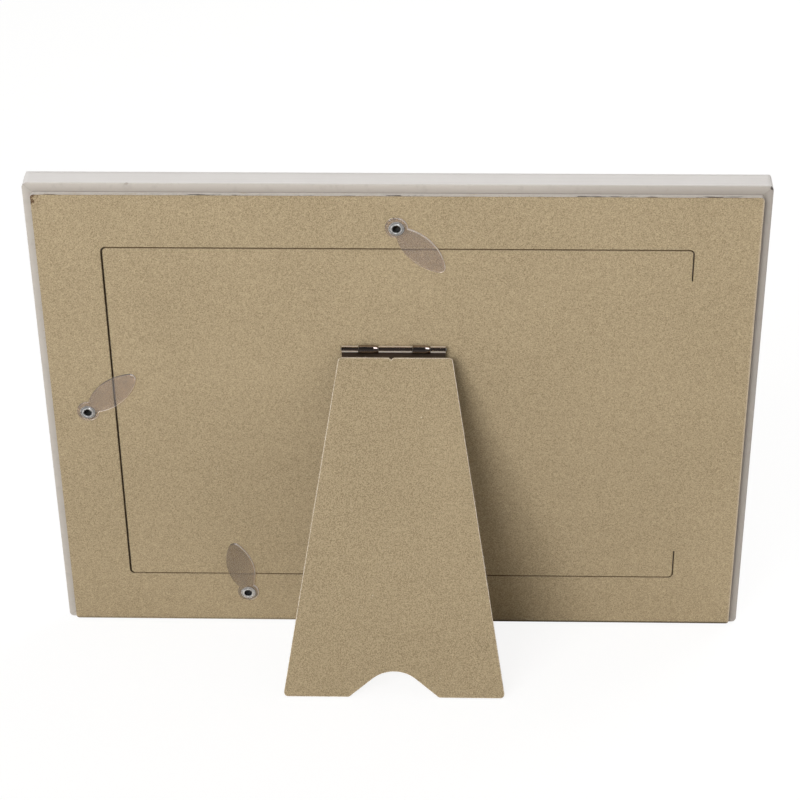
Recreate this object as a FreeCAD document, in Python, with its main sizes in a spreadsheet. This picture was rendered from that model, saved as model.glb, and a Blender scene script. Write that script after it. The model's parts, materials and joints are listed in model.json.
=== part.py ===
# Easel back photo frame: a mitred wooden moulding that holds a pane, a print and a card,
# closed by a velour covered back with a cut-out door, three turn buttons and a folding leg.
#
# Two frames of reference are used. The back's own frame has X along the frame's width, Y out
# of the back, away from the glass, and Z up along the back from its bottom edge. The row's
# frame has the frame standing as in use, leaning back on its leg, on the plane Z = 0.
import FreeCAD, Part
import math
import os
import Sketcher

Vector = FreeCAD.Vector

doc = FreeCAD.newDocument("EaselBackFrame")

# How near two points count as the same one, and how many nails each mitre takes.
NEAR = 1e-4
NAILS_PER_CORNER = 2

# Driving sizes, in millimetres and degrees.
SIZES = {
    # moulding, measured in from the outer edge and forward from the back face
    "outer_width": 227.0,
    "outer_height": 172.5,
    "rail_back_width": 22.4,
    "rebate_depth": 5.2,
    "lip_width": 5.0,
    "lip_thickness": 2.6,
    "side_flat_depth": 5.4,
    "shoulder_radius": 4.5,
    "crown_inset": 6.5,
    "crown_width": 8.0,
    "moulding_depth": 13.0,
    "crown_edge_radius": 0.8,
    "bead_run": 3.5,
    "bead_drop": 1.6,
    "rear_arris_radius": 0.4,
    "corner_radius": 2.0,
    # pane, print and card in the rebate
    "glass_thickness": 2.0,
    "print_thickness": 0.3,
    "stack_play": 0.1,
    "pane_clearance": 0.35,
    "print_side_play": 1.75,
    # back boards and their velour
    "board_thickness": 1.9,
    "velour_thickness": 0.3,
    "panel_side_margin": 2.75,
    "panel_top_margin": 3.0,
    "panel_bottom_margin": 1.2,
    "panel_corner_radius": 1.0,
    "door_side_margin": 23.0,
    "door_top_margin": 21.9,
    "door_bottom": 21.6,
    "cut_width": 0.4,
    "cut_return": 11.0,
    "door_corner_radius": 1.3,
    # turn buttons and their eyelets
    "eyelet_inset": 13.85,
    "side_eyelet_rise": 2.55,
    "bottom_eyelet_offset": 51.5,
    "eyelet_bore_radius": 1.28,
    "eyelet_shank_radius": 1.7,
    "eyelet_flange_radius": 2.43,
    "eyelet_flange_thickness": 0.5,
    "eyelet_tail_thickness": 0.5,
    "eyelet_tail_clearance": 0.1,
    "running_clearance": 0.05,
    "leaf_thickness": 0.7,
    "leaf_play": 0.08,
    "leaf_hub_radius": 3.5,
    "leaf_centre": 10.7,
    "leaf_half_length": 11.5,
    "leaf_half_width": 4.5,
    "leaf_tip_radius": 1.8,
    "leaf_edge_radius": 0.2,
    "top_button_angle": 132.7,
    "side_button_angle": 221.7,
    "bottom_button_angle": 281.4,
    # hinge
    "hinge_rise": 28.25,
    "hinge_offset": 1.3,
    "opening_angle": 30.0,
    "door_knuckle_radius": 1.3,
    "leg_knuckle_radius": 0.98,
    "pin_radius": 0.5,
    "pin_proud": 0.3,
    "pin_end_radius": 0.2,
    "plate_thickness": 0.4,
    "plate_gap": 0.1,
    "first_leg_knuckle": 5.2,
    "first_door_knuckle": 4.4,
    "middle_leg_knuckle": 10.6,
    "second_door_knuckle": 3.7,
    "last_leg_knuckle": 4.7,
    "knuckle_taper": 1.6,
    "knuckle_gap": 0.2,
    "knuckle_relief": 0.25,
    "door_plate_length": 15.0,
    "leg_plate_length": 14.0,
    "stop_lip_reach": 1.3,
    "stop_lip_width": 5.0,
    "stop_lip_angle": 56.0,
    "plate_rivet_radius": 0.9,
    "plate_rivet_head_radius": 1.5,
    "plate_rivet_spacing": 19.0,
    "plate_rivet_place": 10.0,
    "rivet_clearance": 0.02,
    # leg
    "leg_offset": 0.7,
    "leg_foot_margin": 3.8,
    "leg_top_gap": 2.6,
    "leg_top_width": 35.7,
    "leg_foot_width": 70.4,
    "leg_board_thickness": 2.0,
    "leg_corner_radius": 1.3,
    "arch_height": 8.3,
    "arch_width": 28.6,
    "arch_crown_width": 15.0,
    "arch_crown_rise": 2.9,
    "notch_width": 1.6,
    "notch_depth": 0.7,
    "notch_offset": 2.0,
    # corner nails
    "nail_leg": 3.2,
    "nail_thickness": 0.35,
    "nail_height": 6.0,
    "nail_cover": 0.2,
    "nail_first_place": 7.5,
    "nail_spacing": 7.5,
    # one overrun serves every cut that runs past a face
    "overrun": 1.0,
}

# Sizes that follow from the driving ones.
DERIVED = {
    "half_width": "outer_width / 2",
    "half_height": "outer_height / 2",
    "sight_inset": "rail_back_width + lip_width",
    "sight_edge_depth": "rebate_depth + lip_thickness",
    "bead_inset": "sight_inset - bead_run",
    "bead_depth": "sight_edge_depth + bead_drop",
    "bead_radius": "(bead_run ^ 2 + bead_drop ^ 2) / (2 * bead_drop)",
    "cove_inset": "crown_inset + crown_width",
    "cove_run": "bead_inset - cove_inset",
    "cove_drop": "moulding_depth - bead_depth",
    "cove_radius": "(cove_run ^ 2 + cove_drop ^ 2) / (2 * cove_drop)",
    "shoulder_depth": "side_flat_depth + shoulder_radius",
    "mitre_arc_inset": "corner_radius * (1 - cos(45 deg))",
    "pane_width": "outer_width - 2 * rail_back_width - 2 * pane_clearance",
    "pane_height": "outer_height - 2 * rail_back_width - 2 * pane_clearance",
    "pane_half_width": "pane_width / 2",
    "pane_bottom": "half_height - pane_height / 2",
    "pane_top": "half_height + pane_height / 2",
    "print_half_width": "pane_half_width - print_side_play",
    "card_thickness": "rebate_depth - glass_thickness - print_thickness - stack_play",
    "panel_half_width": "half_width - panel_side_margin",
    "panel_top": "outer_height - panel_top_margin",
    "panel_thickness": "board_thickness + velour_thickness",
    "door_half_width": "half_width - door_side_margin",
    "door_top": "outer_height - door_top_margin",
    "cut_corner_radius": "door_corner_radius + cut_width",
    "tail_recess_radius": "eyelet_flange_radius + eyelet_tail_clearance",
    "tail_recess_depth": "eyelet_tail_thickness + eyelet_tail_clearance",
    "shank_hole_radius": "eyelet_shank_radius + running_clearance",
    "leaf_rear": "panel_thickness + leaf_play + leaf_thickness",
    "flange_front": "leaf_rear + leaf_play",
    "leaf_arc_radius": "(leaf_half_length ^ 2 + leaf_half_width ^ 2) / (2 * leaf_half_width)",
    "flange_arc_radius": "((eyelet_flange_radius - eyelet_bore_radius) ^ 2 / 4"
                         " + eyelet_flange_thickness ^ 2) / (2 * eyelet_flange_thickness)",
    "leaf_base": "leaf_centre - leaf_half_length",
    "leaf_tip": "leaf_centre + leaf_half_length",
    "hinge_height": "half_height + hinge_rise",
    "leg_length": "hinge_height - leg_foot_margin",
    "axis_rise": "panel_thickness + door_knuckle_radius",
    "leg_inner": "door_knuckle_radius - 2 * plate_thickness - plate_gap",
    "leg_velour_rise": "leg_board_thickness - leg_inner",
    "leg_outer": "leg_velour_rise + velour_thickness",
    "leg_top_half": "leg_top_width / 2",
    "leg_foot_half": "leg_foot_width / 2",
    "arch_half": "arch_width / 2",
    "crown_half": "arch_crown_width / 2",
    "crown_radius": "(crown_half ^ 2 + arch_crown_rise ^ 2) / (2 * arch_crown_rise)",
    "crown_foot": "leg_length - arch_height + arch_crown_rise",
    "notch_half": "notch_width / 2",
    "notch_bottom": "leg_top_gap + notch_depth",
    # the barrel's knuckles, from its +X end to its -X end, each with its own span
    "knuckle_bore_radius": "pin_radius + running_clearance",
    "barrel_length": "first_leg_knuckle + first_door_knuckle + middle_leg_knuckle"
                     " + second_door_knuckle + last_leg_knuckle + 2 * knuckle_taper + 4 * knuckle_gap",
    "barrel_start": "hinge_offset + barrel_length / 2",
    "first_leg_end": "barrel_start - first_leg_knuckle",
    "first_door_start": "first_leg_end - knuckle_gap",
    "first_door_shoulder": "first_door_start - first_door_knuckle",
    "first_door_end": "first_door_shoulder - knuckle_taper",
    "middle_leg_start": "first_door_end - knuckle_gap",
    "middle_leg_end": "middle_leg_start - middle_leg_knuckle",
    "second_door_start": "middle_leg_end - knuckle_gap",
    "second_door_shoulder": "second_door_start - second_door_knuckle",
    "second_door_end": "second_door_shoulder - knuckle_taper",
    "last_leg_start": "second_door_end - knuckle_gap",
    "barrel_end": "last_leg_start - last_leg_knuckle",
    # a symmetric cut as long as the frame is wide passes right through any piece
    "through_length": "outer_width",
    "door_plate_rise": "door_knuckle_radius - plate_thickness",
    "leg_relief": "leg_knuckle_radius + knuckle_relief",
    "door_relief": "door_knuckle_radius + knuckle_relief",
    "leg_plate_front": "leg_inner + plate_thickness",
    "lip_place": "(middle_leg_start + middle_leg_end) / 2",
    "lip_tip_y": "stop_lip_reach * cos(stop_lip_angle)",
    "lip_tip_z": "stop_lip_reach * sin(stop_lip_angle)",
    "lip_half_y": "plate_thickness / 2 * sin(stop_lip_angle)",
    "lip_half_z": "plate_thickness / 2 * cos(stop_lip_angle)",
    "rivet_near": "hinge_offset - plate_rivet_spacing / 2",
    "rivet_far": "hinge_offset + plate_rivet_spacing / 2",
    "rivet_height": "hinge_height - plate_rivet_place",
    "rivet_hole_radius": "plate_rivet_radius + rivet_clearance",
    "rivet_head_hole_radius": "plate_rivet_head_radius + rivet_clearance",
    # where the leg's foot touches the ground, seen in the back's own frame
    "foot_drop": "hinge_height - leg_length * cos(opening_angle) - leg_inner * sin(opening_angle)",
    "foot_reach": "axis_rise + leg_length * sin(opening_angle) - leg_inner * cos(opening_angle)",
    "foot_drop_to_arris": "foot_drop - rear_arris_radius",
    "foot_reach_to_arris": "foot_reach + rear_arris_radius",
    "foot_distance": "hypot(foot_drop_to_arris; foot_reach_to_arris)",
    "lean_angle": "(acos(-rear_arris_radius / foot_distance)"
                  " - atan2(foot_reach_to_arris; foot_drop_to_arris)) / 1 deg",
    "leg_angle": "opening_angle - lean_angle",
    # the row's frame has its origin under the middle of the whole object's box
    "floor_shift": "rear_arris_radius * (1 - cos(lean_angle) - sin(lean_angle))",
    "front_reach": "(crown_inset + crown_edge_radius) * sin(lean_angle)"
                   " - (moulding_depth - crown_edge_radius) * cos(lean_angle) - crown_edge_radius",
    "rear_reach": "foot_drop * sin(lean_angle) + foot_reach * cos(lean_angle)"
                  " + (leg_inner + leg_outer) * cos(leg_angle)",
    "centre_shift": "-(front_reach + rear_reach) / 2",
}

sheet = doc.addObject("Spreadsheet::Sheet", "Sizes")
for number, (name, size) in enumerate(SIZES.items(), start=1):
    sheet.set("A%d" % number, name)
    sheet.set("B%d" % number, str(size))
    sheet.setAlias("B%d" % number, name)
for number, (name, words) in enumerate(DERIVED.items(), start=1):
    sheet.set("D%d" % number, name)
    sheet.set("E%d" % number, "=" + words)
    sheet.setAlias("E%d" % number, name)
doc.recompute()


def amount(words):
    """The number that a sum of sheet names comes to, such as "door_top - cut_width"."""
    total = 0.0
    sign = 1.0
    for word in words.split():
        if word == "-":
            sign = -1.0
        elif word != "+":
            cell = 0.0 if word == "0" else getattr(sheet, word)
            total += sign * float(getattr(cell, "Value", cell))
            sign = 1.0
    return total


def formula(words):
    """The same sum, written for the document's expressions."""
    parts = [word if word in "+-0" else "Sizes." + word for word in words.split()]
    return " ".join(parts)


def bind(thing, prop, words):
    thing.setExpression(prop, formula(words))


def new_body(name):
    body = doc.addObject("PartDesign::Body", name)
    body.Label = name
    return body


def arc_centre(start, end, radius, turn):
    """Centre of the arc, shorter than a half circle, that turns left or right to its end."""
    middle = (start + end) * 0.5
    chord = end - start
    left = Vector(-chord.y, chord.x, 0).normalize()
    rise = math.sqrt(max(radius * radius - chord.Length ** 2 / 4, 0.0))
    return middle + left * (rise if turn == "left" else -rise)


def outline(sketch, points, arcs=None):
    """A closed outline. points are (across, up) sums of sheet names, arcs maps the number of
    the point that an arc starts from to its radius and the way that it turns."""
    arcs = arcs or {}
    places = [Vector(amount(across), amount(up), 0) for across, up in points]
    first = sketch.GeometryCount
    ends = []
    for number, start in enumerate(places):
        end = places[(number + 1) % len(places)]
        if number in arcs:
            radius_words, turn = arcs[number]
            centre = arc_centre(start, end, amount(radius_words), turn)
            begin, finish = (start, end) if turn == "left" else (end, start)
            angles = [math.atan2(p.y - centre.y, p.x - centre.x) for p in (begin, finish)]
            circle = Part.Circle(centre, Vector(0, 0, 1), amount(radius_words))
            index = sketch.addGeometry(Part.ArcOfCircle(circle, angles[0], angles[1]), False)
            ends.append((index, 1, 2) if turn == "left" else (index, 2, 1))
        else:
            index = sketch.addGeometry(Part.LineSegment(start, end), False)
            ends.append((index, 1, 2))
    for number, (index, _, finish) in enumerate(ends):
        after, begin, _ = ends[(number + 1) % len(ends)]
        sketch.addConstraint(Sketcher.Constraint("Coincident", index, finish, after, begin))
    for number, (across, up) in enumerate(points):
        index, begin, _ = ends[number]
        for kind, words in (("DistanceX", across), ("DistanceY", up)):
            constraint = Sketcher.Constraint(kind, -1, 1, index, begin, amount(words))
            row = sketch.addConstraint(constraint)
            if words != "0":
                bind(sketch, "Constraints[%d]" % row, words)
    for number, (radius_words, _) in arcs.items():
        index = first + number
        row = sketch.addConstraint(Sketcher.Constraint("Radius", index, amount(radius_words)))
        bind(sketch, "Constraints[%d]" % row, radius_words)


def circle_at(sketch, across, up, radius_words):
    """A circle whose centre and radius follow the sheet."""
    centre = Vector(amount(across), amount(up), 0)
    circle = Part.Circle(centre, Vector(0, 0, 1), amount(radius_words))
    index = sketch.addGeometry(circle, False)
    for kind, words in (("DistanceX", across), ("DistanceY", up)):
        row = sketch.addConstraint(Sketcher.Constraint(kind, -1, 1, index, 3, amount(words)))
        if words != "0":
            bind(sketch, "Constraints[%d]" % row, words)
    row = sketch.addConstraint(Sketcher.Constraint("Radius", index, amount(radius_words)))
    bind(sketch, "Constraints[%d]" % row, radius_words)


def new_sketch(body, role, name):
    sketch = body.newObject("Sketcher::SketchObject", body.Name + "_" + name)
    plane = [item for item in body.Origin.OriginFeatures if item.Role == role][0]
    sketch.AttachmentSupport = [(plane, "")]
    sketch.MapMode = "FlatFace"
    return sketch


def pad(body, sketch, words, reverse=False, symmetric=False):
    feature = body.newObject("PartDesign::Pad", sketch.Name + "_pad")
    feature.Profile = sketch
    bind(feature, "Length", words)
    feature.Reversed = reverse
    if symmetric:
        feature.SideType = "Symmetric"
    return feature


def pocket(body, sketch, words, symmetric=False):
    """A cut towards the far side of the sketch's plane, which has to take something away."""
    doc.recompute()
    uncut = body.Shape.Volume
    feature = body.newObject("PartDesign::Pocket", sketch.Name + "_pocket")
    feature.Profile = sketch
    bind(feature, "Length", words)
    if symmetric:
        feature.SideType = "Symmetric"
    doc.recompute()
    if not body.Shape.Volume < uncut:
        raise RuntimeError("%s cuts nothing" % feature.Name)
    return feature


def revolve(body, sketch, axis):
    feature = body.newObject("PartDesign::Revolution", sketch.Name + "_turned")
    feature.Profile = sketch
    feature.ReferenceAxis = (sketch, [axis])
    feature.Angle = 360.0
    return feature


def fillet_upright(body, base, places, words, name):
    """Rounds the edges along Y that stand at the given (x, z) places."""
    doc.recompute()
    edges = []
    for number, edge in enumerate(base.Shape.Edges, start=1):
        box = edge.BoundBox
        if max(box.XLength, box.ZLength) > NEAR:
            continue
        for across, up in places:
            if math.hypot(box.Center.x - amount(across), box.Center.z - amount(up)) < NEAR:
                edges.append("Edge%d" % number)
    feature = body.newObject("PartDesign::Fillet", body.Name + "_" + name)
    feature.Base = (base, edges)
    bind(feature, "Radius", words)
    return feature


def round_rear_edges(body, base, height_words, radius_words):
    """Softens every edge of the rear face, which lies at the given height along Y."""
    doc.recompute()
    edges = []
    for number, edge in enumerate(base.Shape.Edges, start=1):
        box = edge.BoundBox
        if box.YLength < NEAR and abs(box.YMax - amount(height_words)) < NEAR:
            edges.append("Edge%d" % number)
    feature = body.newObject("PartDesign::Fillet", body.Name + "_rear_edges")
    feature.Base = (base, edges)
    bind(feature, "Radius", radius_words)
    return feature


STANDING = ("placement(vector(0; Sizes.centre_shift; Sizes.floor_shift);"
            " rotation(vector(1; 0; 0); -Sizes.lean_angle))")


def place_on_back(thing, x="0", y="0", z="0", turn="0"):
    """Stands a piece of the back's own frame in the row's frame, turned about the back's Y."""
    thing.setExpression("Placement", STANDING + " * placement(vector(%s; %s; %s);"
                        " rotation(vector(0; 1; 0); %s))"
                        % (formula(x), formula(y), formula(z), turn))


def place_on_leg(thing):
    """Stands a piece of the leg in the row's frame: its origin is on the hinge's axis."""
    thing.setExpression("Placement", STANDING + " * placement(vector(0; Sizes.axis_rise;"
                        " Sizes.hinge_height); rotation(vector(1; 0; 0); Sizes.opening_angle))")


def back_frame():
    """The back's own frame as a placement, for shapes made with Part's functions."""
    turn = FreeCAD.Rotation(Vector(1, 0, 0), -amount("lean_angle"))
    return FreeCAD.Placement(Vector(0, amount("centre_shift"), amount("floor_shift")), turn)


def leg_frame():
    turn = FreeCAD.Rotation(Vector(1, 0, 0), amount("opening_angle"))
    hinge = Vector(0, amount("axis_rise"), amount("hinge_height"))
    return back_frame().multiply(FreeCAD.Placement(hinge, turn))


nodes = []


def rail(name, half_length, length, x, z, turn):
    """One mitred rail. Its own X runs along it, Y out of its back, Z in from the outer edge."""
    body = new_body(name)
    section = new_sketch(body, "YZ_Plane", "section")
    outline(section, [
        ("- rear_arris_radius", "0"),
        ("- side_flat_depth", "0"),
        ("- shoulder_depth", "shoulder_radius"),
        ("- shoulder_depth", "crown_inset"),
        ("- moulding_depth + crown_edge_radius", "crown_inset"),
        ("- moulding_depth", "crown_inset + crown_edge_radius"),
        ("- moulding_depth", "cove_inset"),
        ("- bead_depth", "bead_inset"),
        ("- sight_edge_depth", "sight_inset"),
        ("- rebate_depth", "sight_inset"),
        ("- rebate_depth", "rail_back_width"),
        ("0", "rail_back_width"),
        ("0", "rear_arris_radius"),
    ], {
        1: ("shoulder_radius", "right"),
        4: ("crown_edge_radius", "right"),
        6: ("cove_radius", "left"),
        7: ("bead_radius", "right"),
        12: ("rear_arris_radius", "right"),
    })
    pad(body, section, length, symmetric=True)
    waste = new_sketch(body, "XZ_Plane", "mitre")
    outline(waste, [
        (half_length + " - corner_radius", "0"),
        (half_length + " - corner_radius", "- overrun"),
        (half_length + " + overrun", "- overrun"),
        (half_length + " + overrun", "sight_inset + overrun"),
        (half_length + " - sight_inset - overrun", "sight_inset + overrun"),
        (half_length + " - mitre_arc_inset", "mitre_arc_inset"),
    ], {5: ("corner_radius", "right")})
    cut = pocket(body, waste, "moulding_depth + moulding_depth + overrun", symmetric=True)
    mirror = body.newObject("PartDesign::Mirrored", name + "_other_end")
    plane = [item for item in body.Origin.OriginFeatures if item.Role == "YZ_Plane"][0]
    mirror.Originals = [cut]
    mirror.MirrorPlane = (plane, [""])
    body.Tip = mirror
    place_on_back(body, x=x, z=z, turn=turn)
    nodes.append(body)


rail("bottom_rail", "half_width", "outer_width", "0", "0", "0")
rail("top_rail", "half_width", "outer_width", "0", "outer_height", "180")
rail("right_rail", "half_height", "outer_height", "half_width", "half_height", "-90")
rail("left_rail", "half_height", "outer_height", "- half_width", "half_height", "90")


def corner_nails():
    """V-shaped nails driven from behind across the four mitres."""
    leg = amount("nail_leg")
    thick = amount("nail_thickness")
    top = -amount("nail_cover")
    chevron = [Vector(0, top, 0), Vector(leg, top, leg), Vector(leg, top, leg - thick),
               Vector(thick, top, 0), Vector(leg, top, thick - leg), Vector(leg, top, -leg)]
    face = Part.Face(Part.makePolygon(chevron + chevron[:1]))
    nail = face.extrude(Vector(0, -amount("nail_height"), 0))
    solids = []
    middle = Vector(0, 0, amount("half_height"))
    for side in (-1, 1):
        for end in (-1, 1):
            outward = Vector(side, 0, end)
            corner = Vector(side * amount("half_width"), 0, end * amount("half_height"))
            for step in range(NAILS_PER_CORNER):
                inset = amount("nail_first_place") + step * amount("nail_spacing")
                turn = FreeCAD.Rotation(Vector(1, 0, 0), outward)
                solids.append(nail.transformed(
                    FreeCAD.Placement(middle + corner - outward * inset, turn).toMatrix()))
    feature = doc.addObject("Part::Feature", "corner_nails")
    feature.Shape = Part.makeCompound(solids)
    feature.Placement = back_frame()
    nodes.append(feature)


corner_nails()


def sheet_piece(name, half_width_words, bottom, top, thickness, y):
    """A flat rectangular piece whose front face lies at the given height behind the lip."""
    body = new_body(name)
    sketch = new_sketch(body, "XZ_Plane", "outline")
    outline(sketch, [("- " + half_width_words, bottom), (half_width_words, bottom),
                     (half_width_words, top), ("- " + half_width_words, top)])
    pad(body, sketch, thickness, reverse=True)
    place_on_back(body, y=y)
    nodes.append(body)


sheet_piece("glass", "pane_half_width", "pane_bottom", "pane_top", "glass_thickness",
            "- rebate_depth")
sheet_piece("plain_print", "print_half_width", "pane_bottom", "pane_top", "print_thickness",
            "- rebate_depth + glass_thickness")
sheet_piece("filler_card", "pane_half_width", "pane_bottom", "pane_top", "card_thickness",
            "- rebate_depth + glass_thickness + print_thickness")

EYELETS = (("top", "0", "outer_height - eyelet_inset", "top_button_angle"),
           ("side", "half_width - eyelet_inset", "half_height + side_eyelet_rise", "side_button_angle"),
           ("bottom", "bottom_eyelet_offset", "eyelet_inset", "bottom_button_angle"))

PANEL = [("- panel_half_width", "panel_bottom_margin"), ("panel_half_width", "panel_bottom_margin"),
         ("panel_half_width", "panel_top"), ("- panel_half_width", "panel_top")]


def eyelet_holes(body, depth, radius_words, name):
    sketch = new_sketch(body, "XZ_Plane", name)
    for _, across, up, _ in EYELETS:
        circle_at(sketch, across, up, radius_words)
    pocket(body, sketch, depth)


def surround_board():
    """The board around the door, glued to the moulding, with the door's opening cut out."""
    body = new_body("surround_board")
    sketch = new_sketch(body, "XZ_Plane", "outline")
    outline(sketch, PANEL)
    left = "- door_half_width - cut_width"
    right = "door_half_width + cut_width"
    bottom = "door_bottom - cut_width"
    top = "door_top + cut_width"
    outline(sketch, [
        (left, bottom + " + cut_corner_radius"), (left + " + cut_corner_radius", bottom),
        (right + " - cut_corner_radius", bottom), (right, bottom + " + cut_corner_radius"),
        (right, top + " - cut_corner_radius"), (right + " - cut_corner_radius", top),
        (left + " + cut_corner_radius", top), (left, top + " - cut_corner_radius"),
    ], {number: ("cut_corner_radius", "left") for number in (0, 2, 4, 6)})
    base = pad(body, sketch, "board_thickness", reverse=True)
    fillet_upright(body, base, PANEL, "panel_corner_radius", "corners")
    eyelet_holes(body, "board_thickness + overrun", "shank_hole_radius", "shank_holes")
    eyelet_holes(body, "tail_recess_depth", "tail_recess_radius", "tail_recesses")
    place_on_back(body)
    nodes.append(body)


def door_board():
    """The cut-out door, with rounded corners and the holes of its hinge plate's rivets."""
    body = new_body("door_board")
    sketch = new_sketch(body, "XZ_Plane", "outline")
    left = "- door_half_width"
    right = "door_half_width"
    outline(sketch, [
        (left, "door_bottom + door_corner_radius"), (left + " + door_corner_radius", "door_bottom"),
        (right + " - door_corner_radius", "door_bottom"), (right, "door_bottom + door_corner_radius"),
        (right, "door_top - door_corner_radius"), (right + " - door_corner_radius", "door_top"),
        (left + " + door_corner_radius", "door_top"), (left, "door_top - door_corner_radius"),
    ], {number: ("door_corner_radius", "left") for number in (0, 2, 4, 6)})
    pad(body, sketch, "board_thickness", reverse=True)
    door_rivet_holes(body, "board_thickness + overrun")
    place_on_back(body)
    nodes.append(body)


def door_rivet_holes(body, depth):
    sketch = new_sketch(body, "XZ_Plane", "rivet_holes")
    for across in ("rivet_near", "rivet_far"):
        circle_at(sketch, across, "rivet_height", "rivet_hole_radius")
    pocket(body, sketch, depth)


def back_velour():
    """One sheet glued over both boards. The slit around the door stops short on the hinge
    side, where the uncut velour is the door's hinge."""
    body = new_body("back_velour")
    sketch = new_sketch(body, "XZ_Plane", "outline")
    outline(sketch, PANEL)
    left = "- door_half_width"
    right = "door_half_width"
    low = "door_bottom"
    high = "door_top"
    outer_left = left + " - cut_width"
    outer_right = right + " + cut_width"
    outline(sketch, [
        (left, low + " + cut_return"),
        (left, low + " + door_corner_radius"),
        (left + " + door_corner_radius", low),
        (right + " - door_corner_radius", low),
        (right, low + " + door_corner_radius"),
        (right, high + " - door_corner_radius"),
        (right + " - door_corner_radius", high),
        (left + " + door_corner_radius", high),
        (left, high + " - door_corner_radius"),
        (left, high + " - cut_return"),
        (outer_left, high + " - cut_return"),
        (outer_left, high + " - door_corner_radius"),
        (left + " + door_corner_radius", high + " + cut_width"),
        (right + " - door_corner_radius", high + " + cut_width"),
        (outer_right, high + " - door_corner_radius"),
        (outer_right, low + " + door_corner_radius"),
        (right + " - door_corner_radius", low + " - cut_width"),
        (left + " + door_corner_radius", low + " - cut_width"),
        (outer_left, low + " + door_corner_radius"),
        (outer_left, low + " + cut_return"),
    ], {
        1: ("door_corner_radius", "left"), 3: ("door_corner_radius", "left"),
        5: ("door_corner_radius", "left"), 7: ("door_corner_radius", "left"),
        11: ("cut_corner_radius", "right"), 13: ("cut_corner_radius", "right"),
        15: ("cut_corner_radius", "right"), 17: ("cut_corner_radius", "right"),
    })
    base = pad(body, sketch, "velour_thickness", reverse=True)
    fillet_upright(body, base, PANEL, "panel_corner_radius", "corners")
    eyelet_holes(body, "velour_thickness + overrun", "shank_hole_radius", "shank_holes")
    door_rivet_holes(body, "velour_thickness + overrun")
    place_on_back(body, y="board_thickness")
    nodes.append(body)


surround_board()
door_board()
back_velour()


def eyelet(place, across, up):
    """A tubular steel eyelet: a rolled rim over the leaf, a shank through the board, and a
    clenched tail in a recess of the board's front face."""
    body = new_body("eyelet_" + place)
    sketch = new_sketch(body, "XY_Plane", "section")
    outline(sketch, [
        ("eyelet_bore_radius", "0"),
        ("eyelet_flange_radius", "0"),
        ("eyelet_flange_radius", "eyelet_tail_thickness"),
        ("eyelet_shank_radius", "eyelet_tail_thickness"),
        ("eyelet_shank_radius", "flange_front"),
        ("eyelet_flange_radius", "flange_front"),
        ("eyelet_bore_radius", "flange_front"),
    ], {5: ("flange_arc_radius", "left")})
    revolve(body, sketch, "V_Axis")
    place_on_back(body, x=across, z=up)
    nodes.append(body)


def turn_button(place, across, up, angle):
    """A clear plastic leaf that turns on its eyelet: a round hub and a pointed blade."""
    body = new_body("turn_button_" + place)
    hub = new_sketch(body, "XZ_Plane", "hub")
    circle_at(hub, "0", "0", "leaf_hub_radius")
    pad(body, hub, "leaf_thickness", reverse=True)
    blade = new_sketch(body, "XZ_Plane", "blade")
    outline(blade, [("leaf_base", "0"), ("leaf_tip", "0")],
            {0: ("leaf_arc_radius", "left"), 1: ("leaf_arc_radius", "left")})
    leaf = pad(body, blade, "leaf_thickness", reverse=True)
    tip = fillet_upright(body, leaf, [("leaf_tip", "0")], "leaf_tip_radius", "tip")
    round_rear_edges(body, tip, "leaf_thickness", "leaf_edge_radius")
    bore = new_sketch(body, "XZ_Plane", "bore")
    circle_at(bore, "0", "0", "shank_hole_radius")
    pocket(body, bore, "leaf_thickness + overrun")
    place_on_back(body, x=across, y="panel_thickness + leaf_play", z=up, turn="Sizes." + angle)
    nodes.append(body)


for place, across, up, angle in EYELETS:
    eyelet(place, across, up)
    turn_button(place, across, up, angle)


def knuckles(body, spans, radius_words, name):
    """Solid knuckles around the hinge's axis. Each span is (start, shoulder, end): a plain
    cylinder to the shoulder, then a cone that narrows to the leg's knuckle radius."""
    sketch = new_sketch(body, "XY_Plane", name)
    for start, shoulder, end in spans:
        points = [(start, "0"), (start, radius_words), (shoulder, radius_words)]
        if end != shoulder:
            points.append((end, "leg_knuckle_radius"))
        points.append((end, "0"))
        outline(sketch, points)
    revolve(body, sketch, "H_Axis")


def pin_bore(body):
    sketch = new_sketch(body, "YZ_Plane", "bore")
    circle_at(sketch, "0", "0", "knuckle_bore_radius")
    pocket(body, sketch, "through_length", symmetric=True)


def countersinks(body, rear, narrow_first):
    """Two countersunk rivet holes through a plate. rear is how far its outer face, the one
    towards +Y, lies before the axis."""
    plane = [item for item in body.Origin.OriginFeatures if item.Role == "XZ_Plane"][0]
    for number, across in enumerate(("rivet_near", "rivet_far")):
        cone = body.newObject("PartDesign::SubtractiveCone", "%s_sink%d" % (body.Name, number))
        cone.AttachmentSupport = [(plane, "")]
        cone.MapMode = "FlatFace"
        wide, narrow = "rivet_head_hole_radius", "rivet_hole_radius"
        bind(cone, "Radius1", narrow if narrow_first else wide)
        bind(cone, "Radius2", wide if narrow_first else narrow)
        bind(cone, "Height", "plate_thickness")
        bind(cone, "AttachmentOffset.Base.x", across)
        bind(cone, "AttachmentOffset.Base.y", "- plate_rivet_place")
        bind(cone, "AttachmentOffset.Base.z", rear)
    body.Tip = cone


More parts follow.
